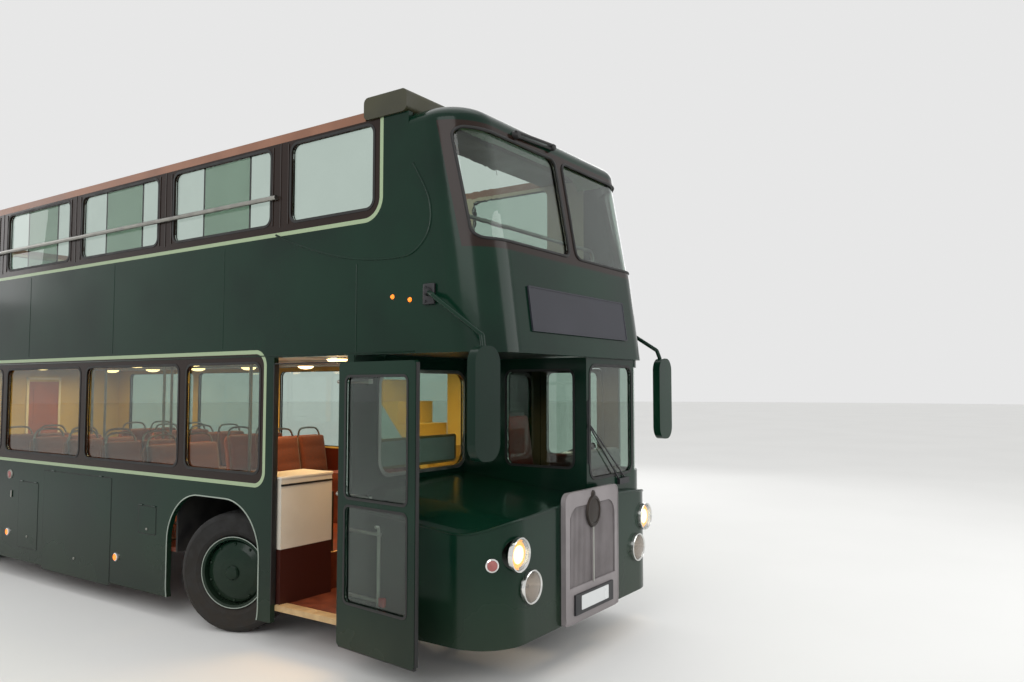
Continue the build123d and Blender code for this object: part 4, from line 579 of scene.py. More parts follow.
def tyre(bm, middle, heading, width):
    """One tyre about an axle that lies across the bus, turned by the heading."""
    scale = width / TYRE_WIDTH
    half = [(radius, across * scale) for radius, across in TYRE_HALF]
    outline = half + [(radius, -across) for radius, across in reversed(half[:-1])]
    fresh = set(turned(bm, outline, Matrix(), TYRE_STEPS, closed=True))
    cuts = []
    for face in bm.faces:
        if face.verts[0] not in fresh:
            continue
        spot = face.calc_center_median()
        # A step is two degrees wide, and the quarter keeps a face's middle off the edge of rounding.
        step = int(round(math.degrees(math.atan2(spot.y, spot.x)) / 2 + 180.25)) % TYRE_STEPS
        across = abs(spot.z) / scale
        in_shoulder = SHOULDER[0] < across < SHOULDER[1] and step % 4 == 0
        in_rib = RIB[0] < across < RIB[1] and step % 4 == 2
        if math.hypot(spot.x, spot.y) > TREAD_RADIUS and (in_shoulder or in_rib):
            cuts.append(face)
    pits = bmesh.ops.extrude_discrete_faces(bm, faces=cuts)["faces"]
    for face in pits:
        spot = face.calc_center_median()
        inward = Vector((spot.x, spot.y, 0)).normalized() * -CUT_DEPTH
        bmesh.ops.translate(bm, vec=inward, verts=list(face.verts))
    fresh.update(v for face in pits for v in face.verts)
    axle = Matrix.Rotation(heading, 4, "Z") @ Matrix.Rotation(math.pi / 2, 4, "Y")
    bmesh.ops.transform(bm, matrix=Matrix.Translation(middle) @ axle, verts=list(fresh))


# %% The six tyres
STEER = math.radians(22)
AXLE_Z = 0.51
KINGPIN = Vector((0.85, -2.015, AXLE_Z))
HUB = Vector((0.21 * math.cos(STEER), 0.21 * math.sin(STEER), 0))
FRONT_HUBS = {"left": KINGPIN + HUB, "right": Vector((-KINGPIN.x, KINGPIN.y, KINGPIN.z)) - HUB}
TWIN_X = (1.0675, 0.7775)
TWIN_WIDTH = 0.255
REAR_AXLE_Y = 2.975
for hand, sign in reversed(HANDS):
    bm = bmesh.new()
    tyre(bm, FRONT_HUBS[hand], STEER, TYRE_WIDTH)
    ring = piece(f"tyre_tread_front_{hand}", bm, tyre_rubber, f"front_{hand}_wheel", 30)
    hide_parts(f"tyre_front_{hand}")
    bm = bmesh.new()
    for across in TWIN_X:
        tyre(bm, (sign * across, REAR_AXLE_Y, AXLE_Z), 0, TWIN_WIDTH)
    ring = piece(f"tyre_tread_rear_{hand}", bm, tyre_rubber, f"rear_{hand}_wheels", 30)
    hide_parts(f"tyre_rear_{hand}")

# %% [markdown]
# ## Wheel trims and nuts
# Each front wheel has a thin pale ring round its domed cover, a small cap in its middle and ten nuts, and
# the rear wheels show ten nuts on the hub's flange. A front nut is a small spun dome, a rear one a short
# six-sided cone, and both are turned round the hub in ten steps.

# %% Wheel rings and nuts
NUTS = 10
for hand, sign in reversed(HANDS):
    out = Matrix.Rotation(sign * math.pi / 2, 4, "Y")
    hub = Matrix.Translation(FRONT_HUBS[hand]) @ Matrix.Rotation(STEER, 4, "Z") @ out
    single(f"rim_edge_{hand}", ring_sage, "wheel_green", turned,
           [(0.2955, 0.1355), (0.299, 0.1385), (0.303, 0.1365), (0.300, 0.134)], hub, 72, closed=True,
           body=f"front_{hand}_wheel")
    bm = bmesh.new()
    turned(bm, [(0.0, 0.170), (0.030, 0.169), (0.050, 0.165), (0.061, 0.152), (0.061, 0.146)], hub, 40)
    for step in range(NUTS):
        turn = Matrix.Rotation(step * 2 * math.pi / NUTS, 4, "Z")
        seat = hub @ turn @ Matrix.Translation((0.235, 0, 0.100))
        turned(bm, [(0.0, 0.014), (0.008, 0.013), (0.012, 0.008), (0.013, 0.0)], seat, 12)
    piece(f"hub_cap_{hand}", bm, enamel, f"front_{hand}_wheel")
    bm = bmesh.new()
    hub = Matrix.Translation((sign * sum(TWIN_X) / 2, REAR_AXLE_Y, AXLE_Z)) @ out
    for step in range(NUTS):
        nut = bmesh.ops.create_cone(bm, cap_ends=True, segments=6, radius1=0.016, radius2=0.014,
                                    depth=0.03)["verts"]
        turn = Matrix.Rotation(step * 2 * math.pi / NUTS, 4, "Z")
        bmesh.ops.transform(bm, matrix=hub @ turn @ Matrix.Translation((0.20, 0, 0.034)), verts=nut)
    turned(bm, [(0.105, 0.211), (0.098, 0.222), (0.060, 0.228), (0.0, 0.230), (0.0, 0.211)], hub, 40)
    piece(f"rear_wheel_nuts_{hand}", bm, steel, f"rear_{hand}_wheels")

# %% [markdown]
# ## Window rubbers
# Each pane sits in an extruded rubber that laps over glass and panel. It is a rounded frame a few
# millimetres proud, alike on every flat window, so a table of openings and one loop make nearly all.

# %% Rubbers of the flat windows
LOWER_Y = [(-2.555, -1.535), (-1.415, 0.1717), (0.2917, 1.8783), (1.9983, 3.585)]
UPPER_Y = [(-3.825, -2.900), (-2.650, -1.275), (-1.025, 0.350), (0.600, 1.975), (2.225, 3.600),
           (3.850, 4.640)]
UPPER_MIDDLE_Z = 3.7475
LAP = 0.006


def rubber_ring(bm, side, place, width, height, radius, ring=0.022, thick=0.004):
    """A rubber frame round one opening, which laps a little over the glass."""
    grow = 2 * (ring - LAP)
    plate(bm, width + grow, height + grow, radius + grow / 2, facing(side, place), thick, ring)


bm = bmesh.new()
for side, sign in HANDS:
    for panes, low, high in ((LOWER_Y, 1.380, 2.285), (UPPER_Y, 3.430, 4.065)):
        for first, last in panes:
            middle = (sign * SIDE_X, (first + last) / 2, (low + high) / 2)
            rubber_ring(bm, side, middle, last - first, high - low, 0.07)
for x in (-0.570, 0.570):
    rubber_ring(bm, "back", (x, REAR_Y, UPPER_MIDDLE_Z), 1.0, 0.635, 0.08)
rubber_ring(bm, "front", (0.535, -4.88, 1.810), 0.750, 0.910, 0.08)
piece("window_rubbers", bm, rubber)
single("cab_window_rubber", rubber, "trim_black", rubber_ring,
       "right", (0.10, -4.430, 1.832), 0.66, 0.786, 0.06, 0.020, 0.005)
single("cab_door_rubber", rubber, "trim_black", rubber_ring,
       "left", (SIDE_X, -4.09, 1.835), 0.56, 0.80, 0.06, body="cab_door_body")

# %% [markdown]
# ## Bulkhead window
# The window in front of the entrance has a satin metal frame. Behind it stands a pale bare board, which
# has a buff frame of its own. The window's frame is the same ring as a rubber, only wider and of metal,
# so no new shape is needed.

# %% Bulkhead frame and board
single("bulkhead_window_frame", alloy, "tube_metal", rubber_ring,
       "front", (-0.43, -3.64, 1.81), 1.06, 0.80, 0.11, 0.030, 0.010)
single("bulkhead_board", plate_white, "counter_white", plate,
       0.94, 0.21, 0.02, facing("front", (-0.43, -3.575, 1.56)), 0.008)
single("bulkhead_board_frame", nosing, "inner_panel", plate,
       0.97, 0.24, 0.03, facing("front", (-0.43, -3.572, 1.56)), 0.014, 0.022)

# %% [markdown]
# ## Upper windows
# The four long windows of each side hold a green body-tinted slider behind the clear pane, between two
# dark strips. Double brown pillars stand between the openings, with a slim bead at each edge and one
# along the middle. All of them are thin plates, placed by the table of openings that the rubbers use.

# %% Tinted sliders and pillar beads
SLIDER_SHARE = 0.47
sliders = bmesh.new()
strips = bmesh.new()
beads = bmesh.new()
for side, sign in HANDS:
    for first, last in UPPER_Y[1:5]:
        middle = (first + last) / 2 - 0.06
        width = (last - first) * SLIDER_SHARE
        plate(sliders, width, 0.62, 0.01, facing(side, (sign * 1.214, middle, UPPER_MIDDLE_Z)), 0.004)
        for edge in (middle - width / 2, middle + width / 2):
            plate(strips, 0.016, 0.634, 0.004, facing(side, (sign * 1.213, edge, UPPER_MIDDLE_Z)), 0.007)
    for before, after in zip(UPPER_Y, UPPER_Y[1:]):
        for y in (before[1] + 0.030, after[0] - 0.030):
            plate(beads, 0.010, 0.66, 0.003, facing(side, (sign * SIDE_X, y, UPPER_MIDDLE_Z)), 0.006)
        y = (before[1] + after[0]) / 2
        plate(beads, 0.010, 0.70, 0.003, facing(side, (sign * SIDE_X, y, UPPER_MIDDLE_Z)), 0.004)
piece("upper_sliders", sliders, shade_glass)
piece("upper_slider_strips", strips, rubber)
piece("upper_pillar_beads", beads, umber)

# %% [markdown]
# ## Rubbers and beads that follow the rounded front
# The upper windscreens bend round the corners and lean back. A line round each pane is laid on that
# surface: the height gives how far the front leans, and past the flat part the corner's circle takes over.

# %% Windscreen rubbers on the curved front
FRONT_LEAN = [(2.33, -4.935), (3.06, -4.835), (4.00, -4.665)]
CORNER_R = 0.34


def on_front(x, z, proud=0.0):
    """Place on the leaning rounded front above the cab."""
    for (z0, y0), (z1, y1) in zip(FRONT_LEAN, FRONT_LEAN[1:]):
        if z <= z1 or z1 == FRONT_LEAN[-1][0]:
            y = y0 + (y1 - y0) * (z - z0) / (z1 - z0)
            break
    over = max(0.0, abs(x) - (SIDE_X - CORNER_R))
    angle = math.asin(min(1.0, over / CORNER_R))
    side = math.copysign(1, x)
    y += CORNER_R * (1 - math.cos(angle)) - proud * math.cos(angle)
    return (x + side * proud * math.sin(angle), y, z)


def loop_points(corners, radius, step=0.07):
    """Points round a four-sided pane with rounded corners, close enough for a smooth line."""
    bm = bmesh.new()
    flat = [bm.verts.new((x, z, 0)) for x, z in corners]
    bm.faces.new(flat)
    bmesh.ops.bevel(bm, geom=list(bm.verts), offset=radius, segments=5, profile=0.5, affect="VERTICES",
                    material=-1)
    ring = [v.co.copy() for v in bm.faces[:][0].verts]
    bm.free()
    points = []
    for here, after in zip(ring, ring[1:] + ring[:1]):
        parts = max(1, int((after - here).length / step))
        points += [here.lerp(after, part / parts) for part in range(parts)]
    return [(p.x, p.y) for p in points]


bm = bmesh.new()
for sign in (-1, 1):
    pane = [(sign * 0.05, 3.125), (sign * 1.175, 3.125), (sign * 1.20, 3.935), (sign * 0.05, 3.935)]
    bent(bm, [on_front(x, z, 0.002) for x, z in loop_points(pane, 0.07)], 0.011, closed=True)
piece("windscreen_rubbers", bm, rubber)

# %% [markdown]
# ## Moulded seam at the upper front corner
# A shallow moulded bead runs from the side, forward under the first window, and turns up in a C round the
# corner of the dome. It is drawn as one smooth line of small section, half sunk in the panel.

# %% Corner seam and panel seams
C_LINE = [(-2.725, 3.339), (-2.95, 3.245), (-3.209, 3.159), (-3.510, 3.078), (-3.848, 3.033),
          (-4.100, 3.030), (-4.217, 3.045), (-4.330, 3.130), (-4.390, 3.240), (-4.385, 3.394),
          (-4.327, 3.532), (-4.216, 3.706)]
SEAMS_Y = (-2.05, -0.30, 1.40, 3.10, 4.30)
bm = bmesh.new()
for sign in (-1, 1):
    line = []
    for y, z in C_LINE:
        over = max(0.0, on_front(0, z)[1] + CORNER_R - y)
        line.append((sign * (SIDE_X - CORNER_R + math.sqrt(CORNER_R ** 2 - over ** 2)), y, z))
    bent(bm, line, 0.008)
    x = sign * SIDE_X
    rod(bm, (x, -3.66, 2.315), (x, -3.66, 3.02), 0.004, 8)
    rod(bm, (x, -4.24, 2.345), (x, 4.82, 2.345), 0.005, 8)
    for y in SEAMS_Y:
        rod(bm, (x, y, 2.42), (x, y, 3.30), 0.0025, 8)
piece("panel_seams", bm, enamel)

# %% [markdown]
# ## Arches, flaps and vents of the lower sides
# The arches are edged by a thin pale bead: a rounded frame whose lower part is cut away at the skirt, by
# one plane for all four.
# Flaps are thin plates inside a dark gap, with a lock and two small hinges, as service flaps have.

# %% Arch beads
SKIRT_Z = 0.201
bm = bmesh.new()
for side, sign in HANDS:
    for y in (-1.935, REAR_AXLE_Y):
        plate(bm, 1.296, 1.296, 0.458, facing(side, (sign * SIDE_X, y, 0.5)), 0.005, 0.010, 24)
below = bmesh.ops.bisect_plane(bm, geom=bm.verts[:] + bm.edges[:] + bm.faces[:], plane_co=(0, 0, SKIRT_Z),
                               plane_no=(0, 0, 1), clear_inner=True)["geom_cut"]
bmesh.ops.holes_fill(bm, edges=[e for e in below if isinstance(e, bmesh.types.BMEdge)], sides=4)
piece("arch_beads", bm, ring_sage)

# %% Flaps with their gaps, locks and hinges
# Each flap is its side, the place of its middle along the bus and in height, its width and its height.
FLAPS = [("right", -0.9745, 0.859, 0.293, 0.264), ("right", 0.307, 0.6875, 1.330, 1.041),
         ("right", 1.30, 0.70, 0.44, 0.72), ("left", 0.307, 0.6875, 1.330, 1.041),
         ("left", -0.9745, 0.859, 0.293, 0.264), ("left", 4.15, 0.80, 0.80, 0.90),
         ("right", 4.15, 0.80, 0.80, 0.90)]
gaps = bmesh.new()
skins = bmesh.new()
locks = bmesh.new()
for side, y, z, width, height in FLAPS:
    out = OUTWARD[side][0]
    x = out * SIDE_X
    plate(gaps, width, height, 0.02, facing(side, (x, y, z)), 0.0015, 0.006)
    plate(skins, width - 0.016, height - 0.016, 0.016, facing(side, (x, y, z)), 0.003)
    turned(locks, [(0.0, 0.007), (0.011, 0.007), (0.013, 0.003), (0.013, 0.0)],
           facing(side, (x + out * 0.003, y, z - height * 0.32)), 20)
    for share in (-0.35, 0.35):
        hinge = Vector((x + out * 0.005, y + share * width, z + height / 2))
        half = Vector((0, 0.03, 0))
        rod(skins, hinge - half, hinge + half, 0.005, 10)
piece("flap_gaps", gaps, rubber)
piece("flap_skins", skins, enamel)
filler = facing("right", (-SIDE_X, 1.734, 1.116))
block(locks, (0.012, 0.022, 0.075), (-1.256, 1.682, 0.903), 0.004)
turned(locks, [(0.040, 0.0), (0.041, 0.012), (0.048, 0.012), (0.052, 0.0)], filler, 32, closed=True)
piece("flap_locks", locks, steel)
single("filler_cap", rose, "lamp_amber", turned,
       [(0.041, 0.0), (0.041, 0.008), (0.030, 0.013), (0.0, 0.015)], filler, 32)

# %% Louvres in the vent flaps
bm = bmesh.new()
for sign in (-1, 1):
    tilt = Matrix.Rotation(math.radians(sign * 25), 4, "Y")
    for row in range(7):
        block(bm, (0.014, 0.62, 0.012), (sign * 1.255, 4.15, 0.775 + 0.05 * row), 0.004, tilt)
piece("side_louvres", bm, enamel)

# %% [markdown]
# ## Entrance
# The platform's edge has a buff nosing with ribs, the doorway a black rubber frame, and the open leaf has
# rubber round its panes and edge, with grab bars on its inner face. The leaf stands turned by six degrees, so
# its pieces are drawn about its own middle and then turned and moved with it.

# %% Platform nosing, doorway and step edges
DOORWAY_Y = -3.1525
bm = bmesh.new()
block(bm, (0.100, 0.838, 0.006), (-1.158, DOORWAY_Y, 0.333), 0.002)
for row in range(5):
    block(bm, (0.007, 0.83, 0.004), (-1.195 + 0.018 * row, DOORWAY_Y, 0.337), 0.0015)
block(bm, (1.60, 0.030, 0.006), (-0.28, -2.688, 0.643), 0.002)
block(bm, (1.90, 0.030, 0.006), (0.0, 2.312, 0.843), 0.002)
piece("step_nosings", bm, nosing)
bm = bmesh.new()
for y in (-2.732, -3.573):
    block(bm, (0.050, 0.008, 1.93), (-1.228, y, 1.31), 0.002)
block(bm, (0.050, 0.83, 0.010), (-1.228, DOORWAY_Y, 2.280), 0.003)
piece("doorway_rubbers", bm, rubber)

# %% The leaf's rubbers, bars and lock
LEAF = Matrix.Translation((-1.45, -4.08, 0)) @ Matrix.Rotation(math.radians(-6), 4, "Z")
LEAF_PANES = [(0.560, 1.240), (1.300, 2.165)]
BAR_X = 0.052
BAR_R = 0.012


def on_leaf(name, bm, mat):
    """Moves what was drawn about the leaf's middle to the open leaf."""
    bmesh.ops.transform(bm, matrix=LEAF, verts=bm.verts[:])
    piece(name, bm, mat, "door_leaf_body")


bm = bmesh.new()
for low, high in LEAF_PANES:
    for side, sign in HANDS:
        rubber_ring(bm, side, (sign * 0.020, 0, (low + high) / 2), 0.655, high - low, 0.04, 0.018, 0.003)
for y in (-0.4075, 0.4075):
    block(bm, (0.030, 0.014, 2.0), (0, y, 1.2575), 0.004)
block(bm, (0.026, 0.80, 0.020), (0, 0, 0.242), 0.005)
on_leaf("leaf_rubbers", bm, rubber)
bm = bmesh.new()
for z in (0.60, 1.06):
    across = [(0.020, 0.355), (0.046, 0.355), (BAR_X, 0.34), (BAR_X, 0.18), (BAR_X, 0.01)]
    bent(bm, [(x, y, z) for x, y in across], BAR_R)
bent(bm, [(BAR_X, 0.03, z) for z in (0.60, 0.83, 1.06)], BAR_R)
for z, inward in ((0.545, 0.02), (1.115, -0.02)):
    upright = [(0.020, z), (0.045, z), (BAR_X, z + inward), (BAR_X, 0.83)]
    bent(bm, [(x, 0.03, height) for x, height in upright], BAR_R)
on_leaf("leaf_grab_bars", bm, steel)
bm = bmesh.new()
block(bm, (0.034, 0.055, 0.065), (BAR_X, -0.01, 0.60), 0.010)
on_leaf("leaf_release", bm, ruby)

# %% [markdown]
# ## Counter
# The counter by the door has a thicker white top with a dark shadow gap under it. A bevelled block laps
# over the solid, and a black strip below it is painted shade in place of the gap, so the solid needs no cut.

# %% Counter top
single("counter_top", white, "counter_white", block, (0.57, 0.385, 0.022), (-0.915, -2.585, 1.348), 0.006)
# A black strip of painted shade under the top, where the shadow gap would be dark.
single("counter_painted_shade_strip", rubber, "trim_black", block, (0.553, 0.012, 0.016), (-0.915, -2.772, 1.290), 0.002)

# %% [markdown]
# ## Headlamps
# A headlamp is a polished bowl behind a lens in a plated ring. The bowl and the ring are one spun outline,
# the lens is a shallow dome, and the bulb is a small capsule. The upper pair is on: its bulb glows white
# and a wider ring in the bowl glows amber. The lower pair is off, and its lenses are a little dusty.

# %% Headlamp bowls, lenses and bulbs
LAMPS = [(-0.990, 0.957, True), (-0.840, 0.714, False), (0.990, 0.957, True), (0.840, 0.714, False)]
NOSE_Y = -4.95
BOWL = [(0.0, -0.062), (0.020, -0.060), (0.050, -0.045), (0.080, -0.012), (0.098, 0.016), (0.104, 0.028),
        (0.110, 0.0335), (0.116, 0.029), (0.118, 0.016), (0.118, 0.001), (0.104, 0.0005), (0.090, -0.020),
        (0.055, -0.060), (0.020, -0.075), (0.0, -0.077)]
LENS = [(0.0, 0.0345), (0.035, 0.0335), (0.070, 0.0305), (0.102, 0.0245), (0.102, 0.0215), (0.070, 0.0275),
        (0.035, 0.0305), (0.0, 0.0315)]
BULB = [(0.0, -0.012), (0.012, -0.016), (0.015, -0.030), (0.012, -0.050), (0.010, -0.058), (0.0, -0.059)]
bowls = bmesh.new()
lenses = bmesh.new()
fog_lenses = bmesh.new()
lit = bmesh.new()
halos = bmesh.new()
bulbs = bmesh.new()
for x, z, burning in LAMPS:
    seat = facing("front", (x, NOSE_Y, z))
    turned(bowls, BOWL, seat, 56)
    turned(lenses if burning else fog_lenses, LENS, seat, 56)
    turned(lit if burning else bulbs, BULB, seat, 20)
    if burning:
        turned(lit, [(0.0, 0.008), (0.050, 0.0065), (0.062, 0.005), (0.050, 0.0035), (0.0, 0.005)], seat, 40)
        turned(halos, [(0.062, 0.005), (0.088, 0.002), (0.088, 0.000), (0.062, 0.003)], seat, 40, closed=True)
shell = piece("headlamp_bowls", bowls, chrome)
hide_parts("headlamps")
piece("headlamp_lenses", lenses, lamp_glass)
piece("fog_lamp_lenses", fog_lenses, fog_glass)
piece("headlamp_glow", lit, lit_bulb)
piece("headlamp_halos", halos, lit_bowl)
piece("headlamp_bulbs", bulbs, lamp_glass)

# %% Rings of the small lamps and the upper corner lamps
bm = bmesh.new()
domes = bmesh.new()
for side, sign in HANDS:
    for y, z in ((-0.471, 0.46), (1.737, 0.48)):
        turned(bm, [(0.030, 0.0), (0.030, 0.019), (0.040, 0.014), (0.042, 0.0)],
               facing(side, (sign * SIDE_X, y, z)), 32, closed=True)
    for y, z in ((-4.026, 2.746), (-4.194, 2.715)):
        turned(domes, [(0.0, 0.012), (0.012, 0.010), (0.018, 0.0)], facing(side, (sign * SIDE_X, y, z)), 20)
    for z in (0.96, 1.12):
        turned(bm, [(0.058, 0.0), (0.058, 0.018), (0.070, 0.012), (0.072, 0.0)],
               facing("back", (sign * 1.01, REAR_Y, z)), 36, closed=True)
    corner = Matrix.Translation((sign * 1.1475, -4.8475, 0.90))
    corner = corner @ Matrix.Rotation(math.radians(sign * 45), 4, "Z") @ facing("front", (0, 0, 0))
    turned(bm, [(0.036, 0.0), (0.036, 0.020), (0.046, 0.015), (0.048, -0.004)], corner, 36, closed=True)
piece("lamp_rings", bm, chrome)
piece("upper_corner_lamps", domes, amber)

# %% [markdown]
# ## Badge, plate and sign board
# The badge on the radiator shell is a bare cast shield, the number plate a blank white strip on its black
# holder, and the board above the cab stays bare inside a thin frame. A spun outline that is stretched
# upwards gives the shield its rim, and the board's frame leans back as its board does.

# %% Badge, blank plate and board frame
GRILLE_Y = -4.99
bm = bmesh.new()
shield = turned(bm, [(0.0, 0.013), (0.060, 0.011), (0.068, 0.010), (0.072, 0.016), (0.084, 0.016),
                     (0.090, 0.009), (0.092, 0.0)], Matrix(), 48)
bmesh.ops.scale(bm, vec=(1.2, 1.35, 1.0), verts=shield)
bmesh.ops.transform(bm, matrix=facing("front", (0.0, GRILLE_Y, 1.13)), verts=shield)
turned(bm, [(0.0, 0.014), (0.020, 0.013), (0.030, 0.006), (0.032, 0.0)],
       facing("front", (0.0, GRILLE_Y, 1.258)), 28)
piece("grille_badge", bm, badge_metal)
single("number_plate_blank", plate_white, "counter_white", plate,
       0.43, 0.105, 0.008, facing("front", (0.0, -5.006, 0.475)), 0.003)
lean = -math.degrees(math.atan2(0.100, 0.730))
single("sign_board_frame", sign_grey, "plate_dark", plate,
       1.505, 0.335, 0.012, facing("front", (0.0, -4.9028, 2.6558), lean), 0.003, 0.010)

# %% [markdown]
# ## Rolled edge of the bonnet
# The crown of the bonnet is made of arcs that fall towards the sides, and it rises to the back by one in ten.
# A slim rolled bead follows its front edge round the corners and back along the open side. A bevel on the
# solid would change its mesh, so the bead is a bar of its own, and the same arcs give its height.

# %% Bead along the nose
NOSE_R = 0.35
NOSE_FLAT = 0.90
CROWN = ((0.90, 1.190), (0.45, 1.214), (0.0, 1.222))
CROWN_SIDE = ((0.90, 1.190), (1.13, 1.140), (1.285, 1.035))
CROWN_RISE = 0.1


def arc_height(x, ends):
    """Height at one x of the circle through three places."""
    (x1, z1), (x2, z2), (x3, z3) = ends
    across = 2 * (x1 * (z2 - z3) + x2 * (z3 - z1) + x3 * (z1 - z2))
    first, second, third = [a * a + b * b for a, b in ends]
    mid_x = (first * (z2 - z3) + second * (z3 - z1) + third * (z1 - z2)) / across
    mid_z = (first * (x3 - x2) + second * (x1 - x3) + third * (x2 - x1)) / across
    return mid_z + math.sqrt((x1 - mid_x) ** 2 + (z1 - mid_z) ** 2 - (x - mid_x) ** 2)


def nose_edge(x, turn):
    """Place where the crown meets the nose: the corner's circle begins at the end of the flat part."""
    y = NOSE_Y + NOSE_R * (1 - math.cos(turn))
    wide = abs(x) + NOSE_R * math.sin(turn)
    height = arc_height(wide, CROWN if wide < NOSE_FLAT else CROWN_SIDE)
    return (math.copysign(wide, x), y, height + CROWN_RISE * (y + 4.96) - 0.003)


bm = bmesh.new()
for sign in (-1, 1):
    line = [nose_edge(sign * (0.43 + 0.09 * step), 0.0) for step in range(6)]
    line += [nose_edge(sign * NOSE_FLAT, math.radians(9 * step)) for step in range(11)]
    if sign < 0:
        x, y, z = line[-1]
        line += [(x, y + 0.115 * step, z + 0.0115 * step) for step in range(1, 9)]
    bent(bm, line, 0.009)
piece("nose_bead", bm, enamel)

# %% [markdown]
# ## Grille bars and trim
# The middle bar of the radiator shell is bright, and the shell has a thin rolled edge. The slats are in
# the solid already, so one block and one rounded frame are enough.

# %% Middle bar and rolled edge of the grille
single("grille_middle_bar", alloy, "shell_grey", block, (0.014, 0.010, 0.61), (0.0, -4.993, 0.895), 0.004)
single("grille_edge", grey_cast, "shell_grey", plate,
       0.846, 0.966, 0.07, facing("front", (0.0, -4.988, 0.820)), 0.005, 0.008)

# %% [markdown]
# ## Cab
# Behind the windscreen lie a maroon dash with round gauges and a shelf, a pale card, a grey cowl and the
# rim of the steering wheel. The wipers get rubber blades, and a parked pair of bars lies over the upper
# windscreen on two domed feet. Through the glass only their outlines are seen, so each is one block, ring
# or bar.

# %% Dash instruments, shelf and loose card
bm = bmesh.new()
for x, radius in ((0.56, 0.045), (0.68, 0.060), (0.80, 0.045)):
    turned(bm, [(radius - 0.008, 0.0), (radius - 0.006, 0.010), (radius, 0.010), (radius + 0.003, 0.0)],
           facing("back", (x, -4.543, 1.330)), 28, closed=True)
piece("dash_gauge_rings", bm, chrome)
single("dash_card", plate_white, "counter_white", block,
       (0.17, 0.13, 0.003), (0.31, -4.61, 1.540), 0.001, Matrix.Rotation(0.4, 4, "Z"))
single("dash_shelf", maroon, "inner_panel", block, (0.29, 0.30, 0.16), (0.295, -4.64, 1.458), 0.030)
WHEEL_TILT = Matrix.Rotation(math.radians(-29.9), 4, "X")
single("steering_wheel_grip", rubber, "trim_black", turned,
       [(0.2275, 0.0), (0.222, 0.011), (0.208, 0.0125), (0.197, 0.004), (0.197, -0.006), (0.208, -0.0125),
        (0.222, -0.011)], Matrix.Translation((0.675, -4.414, 1.4804)) @ WHEEL_TILT, 48, closed=True)

# %% Wiper blades and arms
bm = bmesh.new()
block(bm, (0.010, 0.012, 0.52), (0.110, -4.897, 1.730), 0.003)
block(bm, (0.022, 0.014, 0.04), (0.110, -4.899, 1.79), 0.004)
arm = [on_front(x, z, 0.035) for x, z in ((-0.640, 4.010), (-0.34, 4.030), (-0.064, 4.045))]
bent(bm, arm, 0.011)
bent(bm, [on_front(x, z, 0.018) for x, z in ((-0.620, 3.985), (-0.34, 4.000), (-0.090, 4.015))], 0.009)
for x, z in ((-0.615, 3.995), (-0.09, 4.035)):
    seat = Matrix.Translation(on_front(x, z, -0.005)) @ Matrix.Rotation(math.radians(100), 4, "X")
    turned(bm, [(0.0, 0.058), (0.020, 0.055), (0.028, 0.040), (0.032, 0.0)], seat, 24)
piece("wiper_blades", bm, rubber)

# %% [markdown]
# ## Panel door and cowl
# The saloon's end wall has an orange-brown door with two raised panels in a pale frame: thin plates on
# each other make it. The grey cowl under the windscreen is one block with well rounded edges.

# %% Panel door on the saloon's end wall and the cowl behind the windscreen
bm = bmesh.new()
plate(bm, 0.40, 1.32, 0.01, facing("front", (0.10, 3.880, 1.505)), 0.016)
for z in (1.18, 1.82):
    plate(bm, 0.28, 0.50, 0.01, facing("front", (0.10, 3.864, z)), 0.006)
piece("end_wall_door", bm, shell_plastic)
single("end_wall_door_frame", ceiling, "inner_panel", plate,
       0.46, 1.38, 0.01, facing("front", (0.10, 3.880, 1.535)), 0.020, 0.03)
single("dash_cowl", cowl_grey, "inner_panel", block,
       (0.70, 0.20, 0.17), (0.53, -4.700, 1.470), 0.05, Matrix.Rotation(math.radians(-12), 4, "X"))

# %% [markdown]
# ## Mirrors
# Each mirror is a rounded pod with a silvered glass on its rear face, in a thin rubber rim. The glass is a
# thin rounded plate a hair proud of the pod, and the rim is a slightly larger one with its middle inset.

# %% Mirror glass and rims
glass = bmesh.new()
rims = bmesh.new()
for sign in (-1, 1):
    seat = facing("back", (sign * 1.40, -4.9325, 1.985))
    plate(glass, 0.232, 0.70, 0.09, seat, 0.002)
    plate(rims, 0.258, 0.728, 0.104, seat, 0.005, 0.014)
piece("mirror_glass", glass, chrome)
piece("mirror_rims", rims, rubber)

# %% [markdown]
# ## Saloon lamps and ceiling
# Two rows of round opal lamps light the saloon, and the row on the left starts behind the stairwell. Each
# is a shallow spun dome in a thin plated ring. The last step adds wide warm lights of the same colour
# between the rows, so that the lamps seem to light the seats. Thin metal strips cover the joints of the
# ceiling's panels, and stop short of the stairwell as the lamps do.

# %% Opal lamps under the ceiling
PAST_STAIRS = 2
domes = bmesh.new()
rings = bmesh.new()
for x in (-0.72, 0.72):
    for row in range(PAST_STAIRS if x > 0 else 0, 7):
        down = Matrix.Translation((x, -2.9 + 1.02 * row, 2.340)) @ Matrix.Rotation(math.pi, 4, "X")
        turned(domes, [(0.0, 0.045), (0.05, 0.040), (0.08, 0.026), (0.095, 0.004), (0.095, 0.0)], down, 28)
        turned(rings, [(0.094, 0.0), (0.096, 0.012), (0.108, 0.010), (0.112, 0.0)], down, 28, closed=True)
piece("saloon_lamps", domes, opal)
piece("saloon_lamp_rings", rings, chrome)
bm = bmesh.new()
for x in (-0.45, 0.45):
    block(bm, (0.026, 6.9, 0.012), (x, 0.35, 2.334), 0.004)
for row in range(8):
    left = 0.60 if row < PAST_STAIRS else 1.19
    block(bm, (1.19 + left, 0.020, 0.008), ((left - 1.19) / 2, -2.9 + 0.95 * row, 2.336), 0.003)
piece("ceiling_strips", bm, alloy)

# %% [markdown]
# ## Seat cushions that are really soft
# A cushion drawn as a block looks like a brick. So one block is made of even small faces, its underside and
# its seams are held, and cloth is blown up from inside by a light pressure with gravity off, for twenty
# frames. The cap on how far any point may move keeps it from bursting. Two pads are made so, a
# cushion with one seam and a back with two, and all seats get copies of them.

